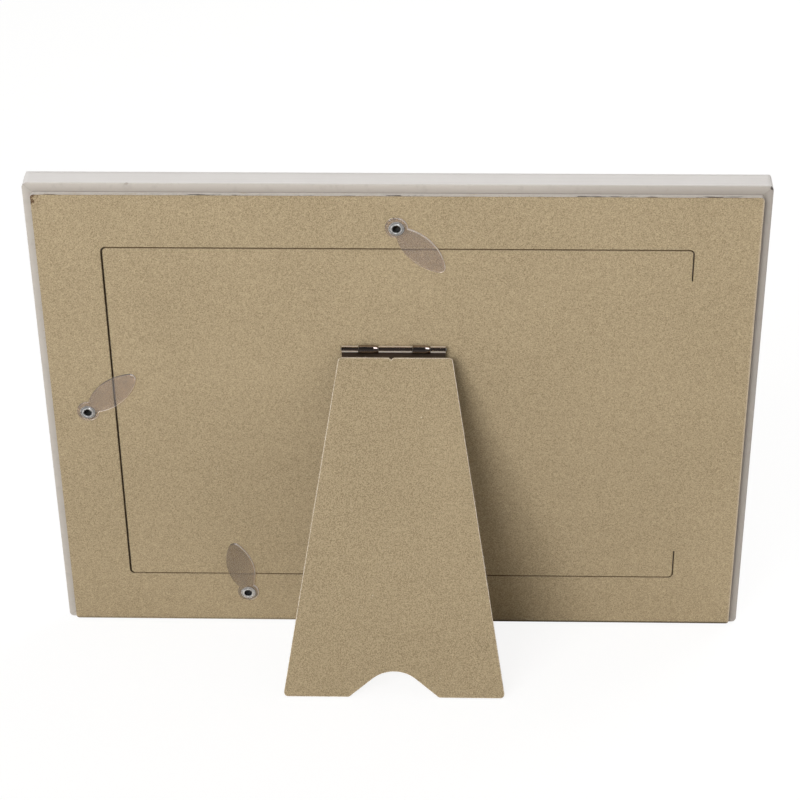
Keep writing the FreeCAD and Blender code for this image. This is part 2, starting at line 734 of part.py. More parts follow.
def plate_outline(body, tongues, length_words, relief_words, depth_words):
    """The flat of a hinge plate: a rectangle under the barrel with a tongue up to the axis at
    each of its own knuckles, and relief around the other plate's knuckles."""
    sketch = new_sketch(body, "XZ_Plane", "plate")
    bind(sketch, "AttachmentOffset.Base.z", depth_words)
    relief = "- " + relief_words
    points = [("barrel_start", "- " + length_words)]
    if tongues[0][0] != "barrel_start":
        points.append(("barrel_start", relief))
    for start, end in tongues:
        if start != "barrel_start":
            points.append((start, relief))
        points += [(start, "0"), (end, "0")]
        if end != "barrel_end":
            points.append((end, relief))
    if tongues[-1][1] != "barrel_end":
        points.append(("barrel_end", relief))
    points.append(("barrel_end", "- " + length_words))
    outline(sketch, points)
    pad(body, sketch, "plate_thickness", reverse=True)


def hinge_door_plate():
    body = new_body("hinge_door_plate")
    plate_outline(body, [("first_door_start", "first_door_shoulder"),
                         ("second_door_start", "second_door_shoulder")],
                  "door_plate_length", "leg_relief", "door_knuckle_radius")
    knuckles(body, [("first_door_start", "first_door_shoulder", "first_door_end"),
                    ("second_door_start", "second_door_shoulder", "second_door_end")],
             "door_knuckle_radius", "knuckles")
    pin_bore(body)
    countersinks(body, "door_plate_rise", False)
    place_on_back(body, y="axis_rise", z="hinge_height")
    nodes.append(body)


def hinge_leg_plate():
    body = new_body("hinge_leg_plate")
    plate_outline(body, [("barrel_start", "first_leg_end"), ("middle_leg_start", "middle_leg_end"),
                         ("last_leg_start", "barrel_end")],
                  "leg_plate_length", "door_relief", "leg_plate_front")
    knuckles(body, [("barrel_start", "first_leg_end", "first_leg_end"),
                    ("middle_leg_start", "middle_leg_end", "middle_leg_end"),
                    ("last_leg_start", "barrel_end", "barrel_end")],
             "leg_knuckle_radius", "knuckles")
    lip = new_sketch(body, "YZ_Plane", "stop_lip")
    bind(lip, "AttachmentOffset.Base.z", "lip_place")
    outline(lip, [("lip_half_y", "lip_half_z"),
                  ("- lip_tip_y + lip_half_y", "lip_tip_z + lip_half_z"),
                  ("- lip_tip_y - lip_half_y", "lip_tip_z - lip_half_z"),
                  ("- lip_half_y", "- lip_half_z")])
    pad(body, lip, "stop_lip_width", symmetric=True)
    pin_bore(body)
    countersinks(body, "leg_inner", True)
    place_on_leg(body)
    nodes.append(body)


def hinge_pin():
    body = new_body("hinge_pin")
    sketch = new_sketch(body, "XY_Plane", "section")
    start = "barrel_start + pin_proud"
    end = "barrel_end - pin_proud"
    outline(sketch, [
        (start, "0"), (start, "pin_radius - pin_end_radius"),
        (start + " - pin_end_radius", "pin_radius"), (end + " + pin_end_radius", "pin_radius"),
        (end, "pin_radius - pin_end_radius"), (end, "0"),
    ], {1: ("pin_end_radius", "left"), 3: ("pin_end_radius", "left")})
    revolve(body, sketch, "H_Axis")
    place_on_back(body, y="axis_rise", z="hinge_height")
    nodes.append(body)


def plate_rivets(name, frame, head, foot, up):
    """Two flush rivets. head and foot are heights along Y: the countersunk head's face and
    the end of the shank, on opposite sides of the plate."""
    toward = 1.0 if amount(foot) > amount(head) else -1.0
    solids = []
    for across in ("rivet_near", "rivet_far"):
        start = Vector(amount(across), amount(head), amount(up))
        way = Vector(0, toward, 0)
        head_cone = Part.makeCone(amount("plate_rivet_head_radius"), amount("plate_rivet_radius"),
                                  amount("plate_thickness"), start, way)
        shank = Part.makeCylinder(amount("plate_rivet_radius"), abs(amount(foot) - amount(head)),
                                  start, way)
        solids.append(head_cone.fuse(shank).removeSplitter())
    feature = doc.addObject("Part::Feature", name)
    feature.Shape = Part.makeCompound(solids)
    feature.Placement = frame
    nodes.append(feature)


def leg_outline(body, name, depth_words, thickness_words):
    """The leg's shape: a tapered board with rounded corners, an arch between its two feet and
    a small notch in its top edge."""
    sketch = new_sketch(body, "XZ_Plane", name)
    bind(sketch, "AttachmentOffset.Base.z", depth_words)
    foot = "- leg_length"
    top = "- leg_top_gap"
    corners = [("leg_offset - leg_foot_half", foot), ("leg_offset - arch_half", foot),
               ("leg_offset + arch_half", foot), ("leg_offset + leg_foot_half", foot),
               ("leg_offset + leg_top_half", top), ("leg_offset - leg_top_half", top)]
    outline(sketch, corners[:2] + [
        ("leg_offset - crown_half", "- crown_foot"),
        ("leg_offset + crown_half", "- crown_foot"),
    ] + corners[2:5] + [
        ("notch_offset + notch_half", top),
        ("notch_offset", "- notch_bottom"),
        ("notch_offset - notch_half", top),
    ] + corners[5:], {2: ("crown_radius", "right")})
    base = pad(body, sketch, thickness_words, reverse=True)
    fillet_upright(body, base, corners, "leg_corner_radius", "corners")


def leg_board():
    body = new_body("leg_board")
    leg_outline(body, "outline", "leg_inner", "leg_board_thickness")
    sketch = new_sketch(body, "XZ_Plane", "rivet_holes")
    for across in ("rivet_near", "rivet_far"):
        circle_at(sketch, across, "- plate_rivet_place", "rivet_hole_radius")
    pocket(body, sketch, "through_length", symmetric=True)
    place_on_leg(body)
    nodes.append(body)


def leg_velour():
    body = new_body("leg_velour")
    leg_outline(body, "outline", "- leg_velour_rise", "velour_thickness")
    place_on_leg(body)
    nodes.append(body)


hinge_door_plate()
hinge_leg_plate()
hinge_pin()
plate_rivets("door_plate_rivets", back_frame(), "panel_thickness + plate_thickness", "0",
             "rivet_height")
plate_rivets("leg_plate_rivets", leg_frame(), "- leg_plate_front", "leg_velour_rise",
             "- plate_rivet_place")
leg_board()
leg_velour()

doc.recompute()
os.makedirs("parts", exist_ok=True)
for item in doc.Objects:
    if "Invalid" in item.State or "Error" in item.State:
        raise RuntimeError("%s failed: %s" % (item.Name, item.State))
for node in nodes:
    if node.Shape.isNull() or not node.Shape.isValid() or not node.Shape.Solids:
        raise RuntimeError("%s has no valid solid" % node.Label)
    node.Shape.exportStep(os.path.join("parts", node.Label + ".step"))
    box = node.Shape.BoundBox
    print("%-20s solids %d volume %9.2f  X %7.2f %7.2f  Y %7.2f %7.2f  Z %7.2f %7.2f" % (
        node.Label, len(node.Shape.Solids), node.Shape.Volume,
        box.XMin, box.XMax, box.YMin, box.YMax, box.ZMin, box.ZMax))

print("lean %.3f degrees, leg %.3f degrees from upright" % (amount("lean_angle"), amount("leg_angle")))
axis_point = back_frame().multVec(Vector(amount("hinge_offset"), amount("axis_rise"),
                                         amount("hinge_height")))
print("leg's axis at", [round(value, 3) for value in axis_point])
outward = back_frame().Rotation.multVec(Vector(0, 1, 0))
print("buttons' axis along", [round(value, 6) for value in outward])
for place, across, up, _ in EYELETS:
    point = back_frame().multVec(Vector(amount(across), amount("leaf_rear"), amount(up)))
    print("button", place, "at", [round(value, 3) for value in point])
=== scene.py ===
# %% [markdown]
# # An easel back photo frame, seen from behind
#
# The frame stands on its bottom edge and leans back on a folding leg. Its back is a board
# covered in brown velour, with a door cut out of it. Three clear plastic turn buttons on steel
# eyelets lock the door, and a small steel hinge carries the leg.
#
# The wooden rails, the boards, the print, the card, and the pin, nails and rivets that hardly
# show have their true shape already. This lesson gives them their finish and leaves them alone.
# What is made anew is what shows how a sheet or a tube was worked: the velour with its soft cut
# edges and loose fibres, the rolled eyelets, the moulded leaves, the rolled hinge and the pane
# with its rubbed edges.

# %% Load the fixed frame
import json
import math
import random
import bpy
from mathutils import Matrix, Vector


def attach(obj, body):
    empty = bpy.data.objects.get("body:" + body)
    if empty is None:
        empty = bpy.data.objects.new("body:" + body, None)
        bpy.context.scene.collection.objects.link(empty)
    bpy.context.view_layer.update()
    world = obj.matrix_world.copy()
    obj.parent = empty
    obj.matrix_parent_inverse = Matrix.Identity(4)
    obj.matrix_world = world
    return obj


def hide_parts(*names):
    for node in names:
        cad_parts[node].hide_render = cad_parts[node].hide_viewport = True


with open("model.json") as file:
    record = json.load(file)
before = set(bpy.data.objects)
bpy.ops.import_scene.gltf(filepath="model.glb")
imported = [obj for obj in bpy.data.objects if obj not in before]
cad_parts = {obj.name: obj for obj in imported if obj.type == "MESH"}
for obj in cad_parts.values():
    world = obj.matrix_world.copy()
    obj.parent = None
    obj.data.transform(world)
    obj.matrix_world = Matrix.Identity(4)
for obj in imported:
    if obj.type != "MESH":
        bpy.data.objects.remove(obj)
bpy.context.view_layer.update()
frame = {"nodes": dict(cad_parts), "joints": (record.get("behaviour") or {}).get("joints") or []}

# %% [markdown]
# ## Two leaning frames of reference
#
# Nothing here stands square to the floor: the back leans away from its leg and the leg leans the
# other way. It is far easier to model a piece lying straight and to lean it at the end, so two
# matrices are kept. In the back's frame, X runs along the frame, Y comes out of the back and Z
# climbs it from its bottom edge. The leg's frame has its origin on the hinge's axis, with Y
# coming out of the leg's velour. Both are worked out from the joints that came with the frame.

# %% The back's frame and the leg's frame
MM = 0.001
joints = {joint["name"]: joint for joint in frame["joints"]}
outward = Vector(joints["turn_top"]["axis"])
LEAN = math.atan2(-outward.z, outward.y)
LEG_OPENING = -math.radians(joints["leg_fold"]["range_deg"][0])

BOARD = 1.9 * MM
VELOUR = 0.3 * MM
PANEL = BOARD + VELOUR
LEAF_PLAY = 0.08 * MM
LEAF = 0.7 * MM
LEAF_REAR = PANEL + LEAF_PLAY + LEAF
OUTER_WIDTH = 227 * MM
OUTER_HEIGHT = 172.5 * MM
EYELET_INSET = 13.85 * MM

pivot = Vector(joints["turn_top"]["pos_m"])
tilt = Matrix.Rotation(-LEAN, 4, "X")
BACK = Matrix.Translation(pivot - tilt @ Vector((0, LEAF_REAR, OUTER_HEIGHT - EYELET_INSET))) @ tilt
hinge_axis = Vector(joints["leg_fold"]["pos_m"])
LEG = (Matrix.Translation((0, hinge_axis.y, hinge_axis.z))
       @ Matrix.Rotation(LEG_OPENING - LEAN, 4, "X"))
print("lean", round(math.degrees(LEAN), 3), "back's origin", tuple(BACK.translation))

# %% [markdown]
# ## A few hand tools
#
# Operators act on whatever is selected, so each step starts from nothing selected and then picks
# faces or edges by where they are. These helpers keep that short.

# %% Helpers for selecting
def select_only(*pieces):
    bpy.ops.object.select_all(action="DESELECT")
    for piece in pieces:
        piece.select_set(True)
    bpy.context.view_layer.objects.active = pieces[0]


def edit(piece):
    select_only(piece)
    bpy.ops.object.mode_set(mode="EDIT")
    bpy.ops.mesh.select_all(action="DESELECT")


def done():
    bpy.ops.object.mode_set(mode="OBJECT")


def pick(piece, kind, test):
    """Selects the vertices, edges or faces that pass a test on their middle and direction."""
    bpy.ops.object.mode_set(mode="OBJECT")
    mesh = piece.data
    for element in list(mesh.vertices) + list(mesh.edges) + list(mesh.polygons):
        element.select = False
    count = 0
    if kind == "FACE":
        for face in mesh.polygons:
            face.select = bool(test(face.center, face.normal))
            count += face.select
    elif kind == "EDGE":
        for edge in mesh.edges:
            start, end = (mesh.vertices[index].co for index in edge.vertices)
            edge.select = bool(test((start + end) / 2, (end - start).normalized()))
            count += edge.select
    else:
        for vertex in mesh.vertices:
            vertex.select = bool(test(vertex.co, vertex.normal))
            count += vertex.select
    bpy.ops.object.mode_set(mode="EDIT")
    bpy.ops.mesh.select_mode(type=kind)
    return count


# %% [markdown]
# Each piece is finished in the same way. It gets its name and its place, which goes into its
# mesh: the object itself stays at the origin, like the pieces that were loaded. Its shading is
# smoothed below an angle. Then it is attached to the body it rides on, and the loaded pieces it
# stands for are hidden.

# %% Helpers for finishing a piece
def apply_modifier(piece, kind, **settings):
    select_only(piece)
    modifier = piece.modifiers.new(kind.title(), kind)
    for key, value in settings.items():
        setattr(modifier, key, value)
    bpy.ops.object.modifier_apply(modifier=modifier.name)


def finish_piece(piece, name, place, body, nodes=(), smooth=35):
    """Settles a piece that was modelled straight: names it, leans it and lets it ride."""
    select_only(piece)
    piece.name = name
    piece.data.name = name
    piece.data.transform(place @ piece.matrix_world)
    piece.matrix_world = Matrix.Identity(4)
    bpy.ops.object.shade_smooth_by_angle(angle=math.radians(smooth))
    apply_modifier(piece, "WEIGHTED_NORMAL", keep_sharp=True)
    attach(piece, body)
    if nodes:
        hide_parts(*nodes)
    print(name, "has", len(piece.data.polygons), "faces")
    return piece


# %% [markdown]
# ## Shader maths as plain sums
#
# A pattern is a sum or a product of a few simple ones. Written as Math nodes such sums are hard
# to read, so a small class wraps a socket and lets Python's operators add the nodes.

# %% A field: a number that changes over a surface
class Field:
    """The output socket of a node, with the sums that Python can write on it."""

    def __init__(self, sheet, socket):
        self.sheet = sheet
        self.socket = socket

    def math(self, operation, *others):
        return self.sheet.sum(operation, self, *others)

    def __add__(self, other):
        return self.math("ADD", other)

    def __mul__(self, other):
        return self.math("MULTIPLY", other)

    def __sub__(self, other):
        return self.math("SUBTRACT", other)

    def __rsub__(self, other):
        return self.sheet.sum("SUBTRACT", other, self)

    def __pow__(self, other):
        return self.math("POWER", other)

    def __rpow__(self, other):
        return self.sheet.sum("POWER", other, self)

    __radd__ = __add__
    __rmul__ = __mul__

    def ramp(self, low, high, start=0.0, end=1.0):
        """Runs smoothly from start, where the field is low, to end, where it is high."""
        return self.sheet.node("ShaderNodeMapRange", {"interpolation_type": "SMOOTHSTEP"},
                               {"Value": self, "From Min": low, "From Max": high,
                                "To Min": start, "To Max": end})


# %% [markdown]
# Every node that isn't a sum comes from one method. It takes the node's type, its settings, which
# are made first, and the values or fields for its inputs. A material, the floor and the world are
# all filled this way.

# %% A sheet of nodes
class Sheet:
    """A node tree that is filled node by node."""

    def __init__(self, tree, output):
        self.tree = tree
        self.output = tree.nodes[output]

    def plug(self, socket, value):
        if isinstance(value, Field):
            self.tree.links.new(value.socket, socket)
        elif hasattr(socket.default_value, "__len__") and len(socket.default_value) == 4:
            socket.default_value = (*value, 1)
        else:
            socket.default_value = value

    def node(self, kind, settings, sockets, output=0):
        node = self.tree.nodes.new(kind)
        for key, value in settings.items():
            setattr(node, key, value)
        for key, value in sockets.items():
            self.plug(node.inputs[key], value)
        return Field(self, node.outputs[output])

    def sum(self, operation, *terms):
        """A Math node on numbers and fields, in the order in which they are given."""
        return self.node("ShaderNodeMath", {"operation": operation}, dict(enumerate(terms)))

    def ray(self, kind):
        """One where the ray being traced is of this kind, else zero."""
        return self.node("ShaderNodeLightPath", {}, {}, kind)

    def blend(self, amount, first, second):
        """Mixes two shaders by a field."""
        return self.node("ShaderNodeMixShader", {}, {0: amount, 1: first, 2: second})

    def show(self, shader):
        self.plug(self.output.inputs["Surface"], shader)


# %% [markdown]
# Each surface here is one Principled shader and a few patterns that feed it. The patterns read
# Object coordinates, turned into the back's or the leg's own frame and counted in millimetres, so
# that they lie still on the piece and their sizes can be read off a ruler.

# %% A finish: one material for one kind of surface
class Finish(Sheet):
    """A material with one Principled shader, and the nodes that feed it."""

    def __init__(self, name, **sockets):
        self.material = bpy.data.materials.new(name)
        self.material.use_nodes = True
        super().__init__(self.material.node_tree, "Material Output")
        self.shader = self.tree.nodes["Principled BSDF"]
        self.own = Field(self, self.shader.outputs[0])
        self.feed(**sockets)

    def feed(self, **sockets):
        for key, value in sockets.items():
            self.plug(self.shader.inputs[key.replace("_", " ")], value)

    def place(self, matrix, stretch=(1, 1, 1)):
        """Object coordinates in millimetres, in a leaning frame if one is given, stretched."""
        where = self.node("ShaderNodeTexCoord", {}, {}, "Object")
        if matrix is None:
            return self.node("ShaderNodeMapping", {"vector_type": "POINT"},
                             {"Vector": where, "Scale": [value / MM for value in stretch]})
        own = self.node("ShaderNodeMapping", {"vector_type": "TEXTURE"},
                        {"Vector": where, "Location": matrix.translation,
                         "Rotation": matrix.to_euler(), "Scale": (MM, MM, MM)})
        return self.node("ShaderNodeMapping", {"vector_type": "POINT"},
                         {"Vector": own, "Scale": stretch})

    def noise(self, where, scale, detail=2.0, rough=0.5, twist=0.0):
        """Cloudy noise, whose scale is in lumps per millimetre."""
        return self.node("ShaderNodeTexNoise", {},
                         {"Vector": where, "Scale": scale, "Detail": detail,
                          "Roughness": rough, "Distortion": twist})

    def axis(self, where, name):
        return self.node("ShaderNodeSeparateXYZ", {}, {"Vector": where}, name)

    def mix(self, amount, first, second):
        """Mixes two colours by a field."""
        return self.node("ShaderNodeMix", {"data_type": "RGBA"},
                         {0: amount, 6: first, 7: second}, 2)

    def bump(self, height, distance, strength=1.0):
        self.feed(Normal=self.node("ShaderNodeBump", {},
                                   {"Height": height, "Distance": distance,
                                    "Strength": strength}))

    def onto(self, *pieces):
        for piece in pieces:
            piece.data.materials.clear()
            piece.data.materials.append(self.material)
        print(self.material.name, "covers", ", ".join(piece.name for piece in pieces))


# %% [markdown]
# ## The camera
#
# The camera was found by fitting a pinhole camera to the corners and edges that show in the
# photograph. It looks down on the back from slightly above with a long lens. Placed by eye it
# would be nearly right, but a fitted one lets a render be laid over the photograph.

# %% Set the camera where the photograph was taken
FOCAL_SHARE = 2538.9 / 800
SENSOR = 36.0
CAMERA_HEIGHT_ANGLE = math.radians(18.607)
CAMERA_SIDE_ANGLE = math.radians(180 - 1.622)
CAMERA_ROLL = math.radians(-0.120)
CAMERA_DISTANCE = 840.56 * MM
CLIP_END = 20.0
AIM = Vector((0.406 * MM, BACK.translation.y, BACK.translation.z + 78.751 * MM))

forward = Vector((math.sin(CAMERA_SIDE_ANGLE) * math.cos(CAMERA_HEIGHT_ANGLE),
                  math.cos(CAMERA_SIDE_ANGLE) * math.cos(CAMERA_HEIGHT_ANGLE),
                  -math.sin(CAMERA_HEIGHT_ANGLE)))
right = Vector((math.cos(CAMERA_SIDE_ANGLE), -math.sin(CAMERA_SIDE_ANGLE), 0))
up = right.cross(forward)
rolled_right = right * math.cos(CAMERA_ROLL) + up * math.sin(CAMERA_ROLL)
rolled_up = up * math.cos(CAMERA_ROLL) - right * math.sin(CAMERA_ROLL)
camera_turn = Matrix((rolled_right, rolled_up, -forward)).transposed().to_4x4()

lens = bpy.data.cameras.new("camera")
lens.sensor_width = SENSOR
lens.lens = SENSOR * FOCAL_SHARE
lens.clip_end = CLIP_END
camera = bpy.data.objects.new("camera", lens)
bpy.context.scene.collection.objects.link(camera)
camera.matrix_world = Matrix.Translation(AIM - forward * CAMERA_DISTANCE) @ camera_turn
bpy.context.scene.camera = camera
print("camera at", tuple(round(value, 3) for value in camera.location))

# %% [markdown]
# ## Velour
#
# The back and the leg are covered with flocked velour: short fibres glued upright on a thin
# sheet. From a step away it is a matt brown with a fine, uneven grain about a millimetre across.
# Hairs by the hundred thousand would be slow to draw, so the nap is a pattern and a bump: two sizes
# of noise give the grain, whose light and dark is partly the nap's own tone and partly painted
# shade of its relief; a wide one gives the patches where a hand has brushed it; a few pale specks
# are lint, and dark specks are painted shade in the nap's hollows.

# %% The velour's finish
VELOUR_LIGHT = (0.560, 0.448, 0.285)
VELOUR_DARK = (0.185, 0.138, 0.076)
LINT = (0.66, 0.60, 0.48)
NAP_HOLLOW_SHADE = (0.09, 0.055, 0.03)
NAP_HEIGHT = 0.40 * MM


def velour_finish(name, matrix, depth, wear=None):
    finish = Finish(name, Roughness=0.95, Specular_IOR_Level=0.15, Sheen_Weight=0.12,
                    Sheen_Roughness=0.5, Sheen_Tint=(0.90, 0.82, 0.66))
    where = finish.place(matrix)
    # The grain's light and dark is partly the nap's own tone and partly painted shade of its
    # relief.
    grain = finish.noise(where, 3.0, 3.0, 0.65)
    fine = finish.noise(where, 6.5, 2.0, 0.6)
    brushed = finish.noise(where, 0.025, 2.0, 0.5)
    tone = grain.ramp(0.32, 0.68) * 0.56 + fine.ramp(0.32, 0.68) * 0.28 + brushed * 0.16
    colour = finish.mix(tone, [value * depth for value in VELOUR_DARK],
                        [value * depth for value in VELOUR_LIGHT])
    lint = finish.noise(where, 1.9, 1.0, 0.5, 0.6).ramp(0.77, 0.81)
    colour = finish.mix(lint * 0.6, colour, LINT)
    # Dark specks: painted shade in the nap's hollows.
    nap_hollow_shade = finish.noise(finish.place(matrix, (1.3, 1, 1.1)), 1.9, 1.0, 0.5).ramp(0.21, 0.25, 1, 0)
    colour = finish.mix(nap_hollow_shade * 0.55, colour, NAP_HOLLOW_SHADE)
    finish.feed(Base_Color=wear(finish, where, fine, colour) if wear else colour)
    finish.bump(grain * 0.65 + fine * 0.35, NAP_HEIGHT, 0.7)
    return finish


# %% [markdown]
# The back has its own marks. The fibres beside the slit are painted dark brown, so the slit looks
# wider and browner than its gap: partly the stain of the knife and of fingers, partly painted shade
# of the cut, strongest along the side cut at +X. One corner is worn to the brown board, and along
# the far side the sheet's cut edge shows pale. A thin dark line along the bottom edge is painted
# shade under the board's lower edge.

# %% The back's own wear
SLIT_X = 90.7
SLIT_Z = 64.7
DOOR_MIDDLE = 86.1
SLIT_RETURN = 11.0
SLIT_CORNER = 1.5
SIDE_CUT = (89.4, 89.8)
PANEL_SIDE = 110.75
PANEL_TOP = 169.5
PANEL_BOTTOM = 1.2
SLIT_STAIN_AND_SHADE = (0.034, 0.020, 0.009)
BARE_BOARD = (0.085, 0.040, 0.020)
LOWER_EDGE_SHADE = (0.060, 0.048, 0.034)
PALE_EDGE = (0.560, 0.470, 0.380)


def back_wear(finish, where, fine, colour):
    x = finish.axis(where, "X")
    z = finish.axis(where, "Z")
    ragged = (fine - 0.5) * 0.5
    beside_x = x.math("ABSOLUTE") - (SLIT_X - SLIT_CORNER)
    beside_z = (z - DOOR_MIDDLE).math("ABSOLUTE") - (SLIT_Z - SLIT_CORNER)
    outside = (beside_x.math("MAXIMUM", 0.0) ** 2.0 + beside_z.math("MAXIMUM", 0.0) ** 2.0) ** 0.5
    inside = beside_x.math("MAXIMUM", beside_z).math("MINIMUM", 0.0)
    from_slit = (outside + inside - SLIT_CORNER + ragged).math("ABSOLUTE")
    in_return = (beside_z + SLIT_RETURN - SLIT_CORNER).ramp(-0.3, 0.3)
    slit_here = x.ramp(-SIDE_CUT[1], -SIDE_CUT[0]).math("MAXIMUM", in_return)
    # A dark band beside the slit: partly stain, partly painted shade of the cut, stronger along the
    # side cut at +X.
    slit_darkened = x.ramp(*SIDE_CUT) * 0.65 + 0.25
    slit_stain_and_shade = from_slit.ramp(0.20, 0.50, 1.0, 0.0) * slit_here
    colour = finish.mix(slit_stain_and_shade * slit_darkened, colour, SLIT_STAIN_AND_SHADE)
    corner = ((PANEL_SIDE - x) * 0.45).math("MAXIMUM", (PANEL_TOP - z) * 0.22)
    wear_and_highlight = finish.noise(where, 0.9, 3.0, 0.6)
    worn = (corner + (wear_and_highlight - 0.5) * 3.0 + (fine - 0.5) * 1.5).ramp(0.3, 0.9, 1.0, 0.0)
    colour = finish.mix(worn * 0.9, colour, BARE_BOARD)
    # A thin dark line along the bottom edge: painted shade under the board's lower edge, stronger
    # towards -X.
    lower_edge_shade = (z + ragged * 0.6).ramp(PANEL_BOTTOM + 0.45, PANEL_BOTTOM + 0.95, 1.0, 0.0)
    colour = finish.mix(lower_edge_shade * x.ramp(-60, 60, 0.85, 0.35), colour, LOWER_EDGE_SHADE)
    pale = (x + PANEL_SIDE).ramp(0.15, 0.75, 1.0, 0.0)
    return finish.mix(pale * 0.45, colour, PALE_EDGE)


# Both covers take the same finish with its colours scaled down, the leg's more than the back's:
# painted shade.
back_velour_finish = velour_finish("back_velour", BACK, 0.97, back_wear)
leg_velour_finish = velour_finish("leg_velour", LEG, 0.89)
print("made", back_velour_finish.material.name, "and", leg_velour_finish.material.name)

# %% [markdown]
# ### Covering the back and the leg
#
# A cut sheet of velour has a soft edge: the fibres along it splay outwards. The loaded skins are
# sheets with knife-sharp edges. They could be drawn anew, but their outlines are right already,
# so each is copied, its loose triangles are merged and its flat faces joined. Its sharp edges
# are then rounded with a small bevel. The leaves, the hinge and the pane start this way too.

# %% Helpers that copy a loaded piece and round its edges
def copy_of_node(node):
    """An own copy of a loaded node, merged and with its flat faces joined."""
    select_only(frame["nodes"][node])
    bpy.ops.object.duplicate()
    piece = bpy.context.object
    for key in list(piece.keys()):
        del piece[key]
    piece.parent = None
    piece.data.materials.clear()
    edit(piece)
    bpy.ops.mesh.select_all(action="SELECT")
    bpy.ops.mesh.remove_doubles(threshold=0.0001 * MM)
    bpy.ops.mesh.customdata_custom_splitnormals_clear()
    bpy.ops.mesh.dissolve_limited(angle_limit=math.radians(0.5))
    done()
    return piece


def soften(piece, width, segments=2, angle=40):
    apply_modifier(piece, "BEVEL", width=width, segments=segments, limit_method="ANGLE",
                   angle_limit=math.radians(angle), use_clamp_overlap=True)


# %% [markdown]
# The leg's rims are paler than its nap: there the scissors have laid the backing bare. So the
# faces that don't lie flat get a second finish, with a pattern of pale and dark threads.

# %% The cut edge's finish, and a helper for rims
SIDEWAYS = 0.12
DARK_THREAD = (0.52, 0.43, 0.33)
PALE_THREAD = (0.80, 0.73, 0.64)

cut_edge = Finish("velour_cut_edge", Roughness=0.9, Specular_IOR_Level=0.15)
threads = cut_edge.noise(cut_edge.place(LEG), 3.0, 3.0, 0.6)
cut_edge.feed(Base_Color=cut_edge.mix(threads.ramp(0.35, 0.65), DARK_THREAD, PALE_THREAD))
cut_edge.bump(threads, 0.15 * MM, 0.6)
print("made", cut_edge.material.name)


def give_rims(piece, finish, flat, limit, side=Vector()):
    """A second finish for the faces that don't lie flat, and that face a side if one is given."""
    piece.data.materials.append(finish.material)
    rims = [face for face in piece.data.polygons if abs(face.normal.dot(flat)) < limit
            and (not side.length or face.normal.dot(side) > SIDEWAYS)]
    for face in rims:
        face.material_index = 1
    print(piece.name, "rim faces", len(rims))


# %% [markdown]
# The slit round the door is rounded as the outer edges are, which is what lets it catch the light
# as a thin line beside the dark cut. The leg's velour is rounded a little more, as it was cut
# with scissors and handled since.

# %% Cover the back and the leg
NAP_ROUND = 0.20 * MM
LEG_NAP_ROUND = 0.29 * MM
LEG_RIM_LIMIT = 0.96
LEG_OUT = (LEG.to_3x3() @ Vector((0, 1, 0))).normalized()


def velour_cover(node, name, body, finish, round_off):
    cover = copy_of_node(node)
    soften(cover, round_off)
    apply_modifier(cover, "TRIANGULATE")
    finish_piece(cover, name, Matrix.Identity(4), body, [node], smooth=60)
    finish.onto(cover)
    return cover


back_cover = velour_cover("back_velour", "back_cover", "frame", back_velour_finish, NAP_ROUND)
leg_cover = velour_cover("leg_velour", "leg_cover", "leg", leg_velour_finish, LEG_NAP_ROUND)
give_rims(leg_cover, cut_edge, LEG_OUT, LEG_RIM_LIMIT)

# %% [markdown]
# ### Loose fibres
#
# Scissors leave a fringe: here and there a fibre stands out from a cut edge. Hair curves would
# give as good a picture, but a small mesh exports as it is. One fibre is a three-sided cone, bent
# a little in its middle, and has only a few faces, because it is going to be copied often.

# %% A helper that models one fibre
FIBRE_LENGTH = 1.0 * MM
FIBRE_THICK = 0.05 * MM


def one_fibre():
    """One bent fibre with its root at the origin, standing along X."""
    bpy.ops.object.select_all(action="DESELECT")
    bpy.ops.mesh.primitive_cone_add(vertices=3, radius1=FIBRE_THICK, radius2=FIBRE_THICK / 4,
                                    depth=FIBRE_LENGTH, location=(FIBRE_LENGTH / 2, 0, 0),
                                    rotation=(0, math.pi / 2, 0))
    fibre = bpy.context.object
    bpy.ops.object.transform_apply(location=True, rotation=True, scale=True)
    edit(fibre)
    pick(fibre, "EDGE", lambda middle, way: abs(way.x) > 0.9)
    bpy.ops.mesh.subdivide(number_cuts=1)
    pick(fibre, "VERT", lambda place, _: abs(place.x - FIBRE_LENGTH / 2) < FIBRE_LENGTH / 9)
    bpy.ops.transform.translate(value=(0, 0, FIBRE_LENGTH * 0.16))
    done()
    return fibre


# %% [markdown]
# The fibre is set down some hundred times along the edges of the two covers, each time turned and
# sized anew, with a fixed seed so that every run gives the same fringe. Its place is drawn from
# the rims' faces by their area, and a face counts as rim below a limit on how flat it lies: the
# leg's rounder rims need a higher one. No fibre stands under a turn button, where it would be
# pressed flat, or under the leg's feet.

# %% Strew fibres along the cut edges
LEAF_REACH = 24 * MM
FOOT_SKIP = -0.4
SHORTEST = 0.35
BACK_FRINGE = {"limit": 0.3, "count": 420, "longest": 1.0, "seed": 5}
LEG_FRINGE = {"limit": 0.5, "count": 200, "longest": 0.7, "seed": 6}
PIVOTS = [Vector(joint["pos_m"]) for name, joint in joints.items() if name != "leg_fold"]


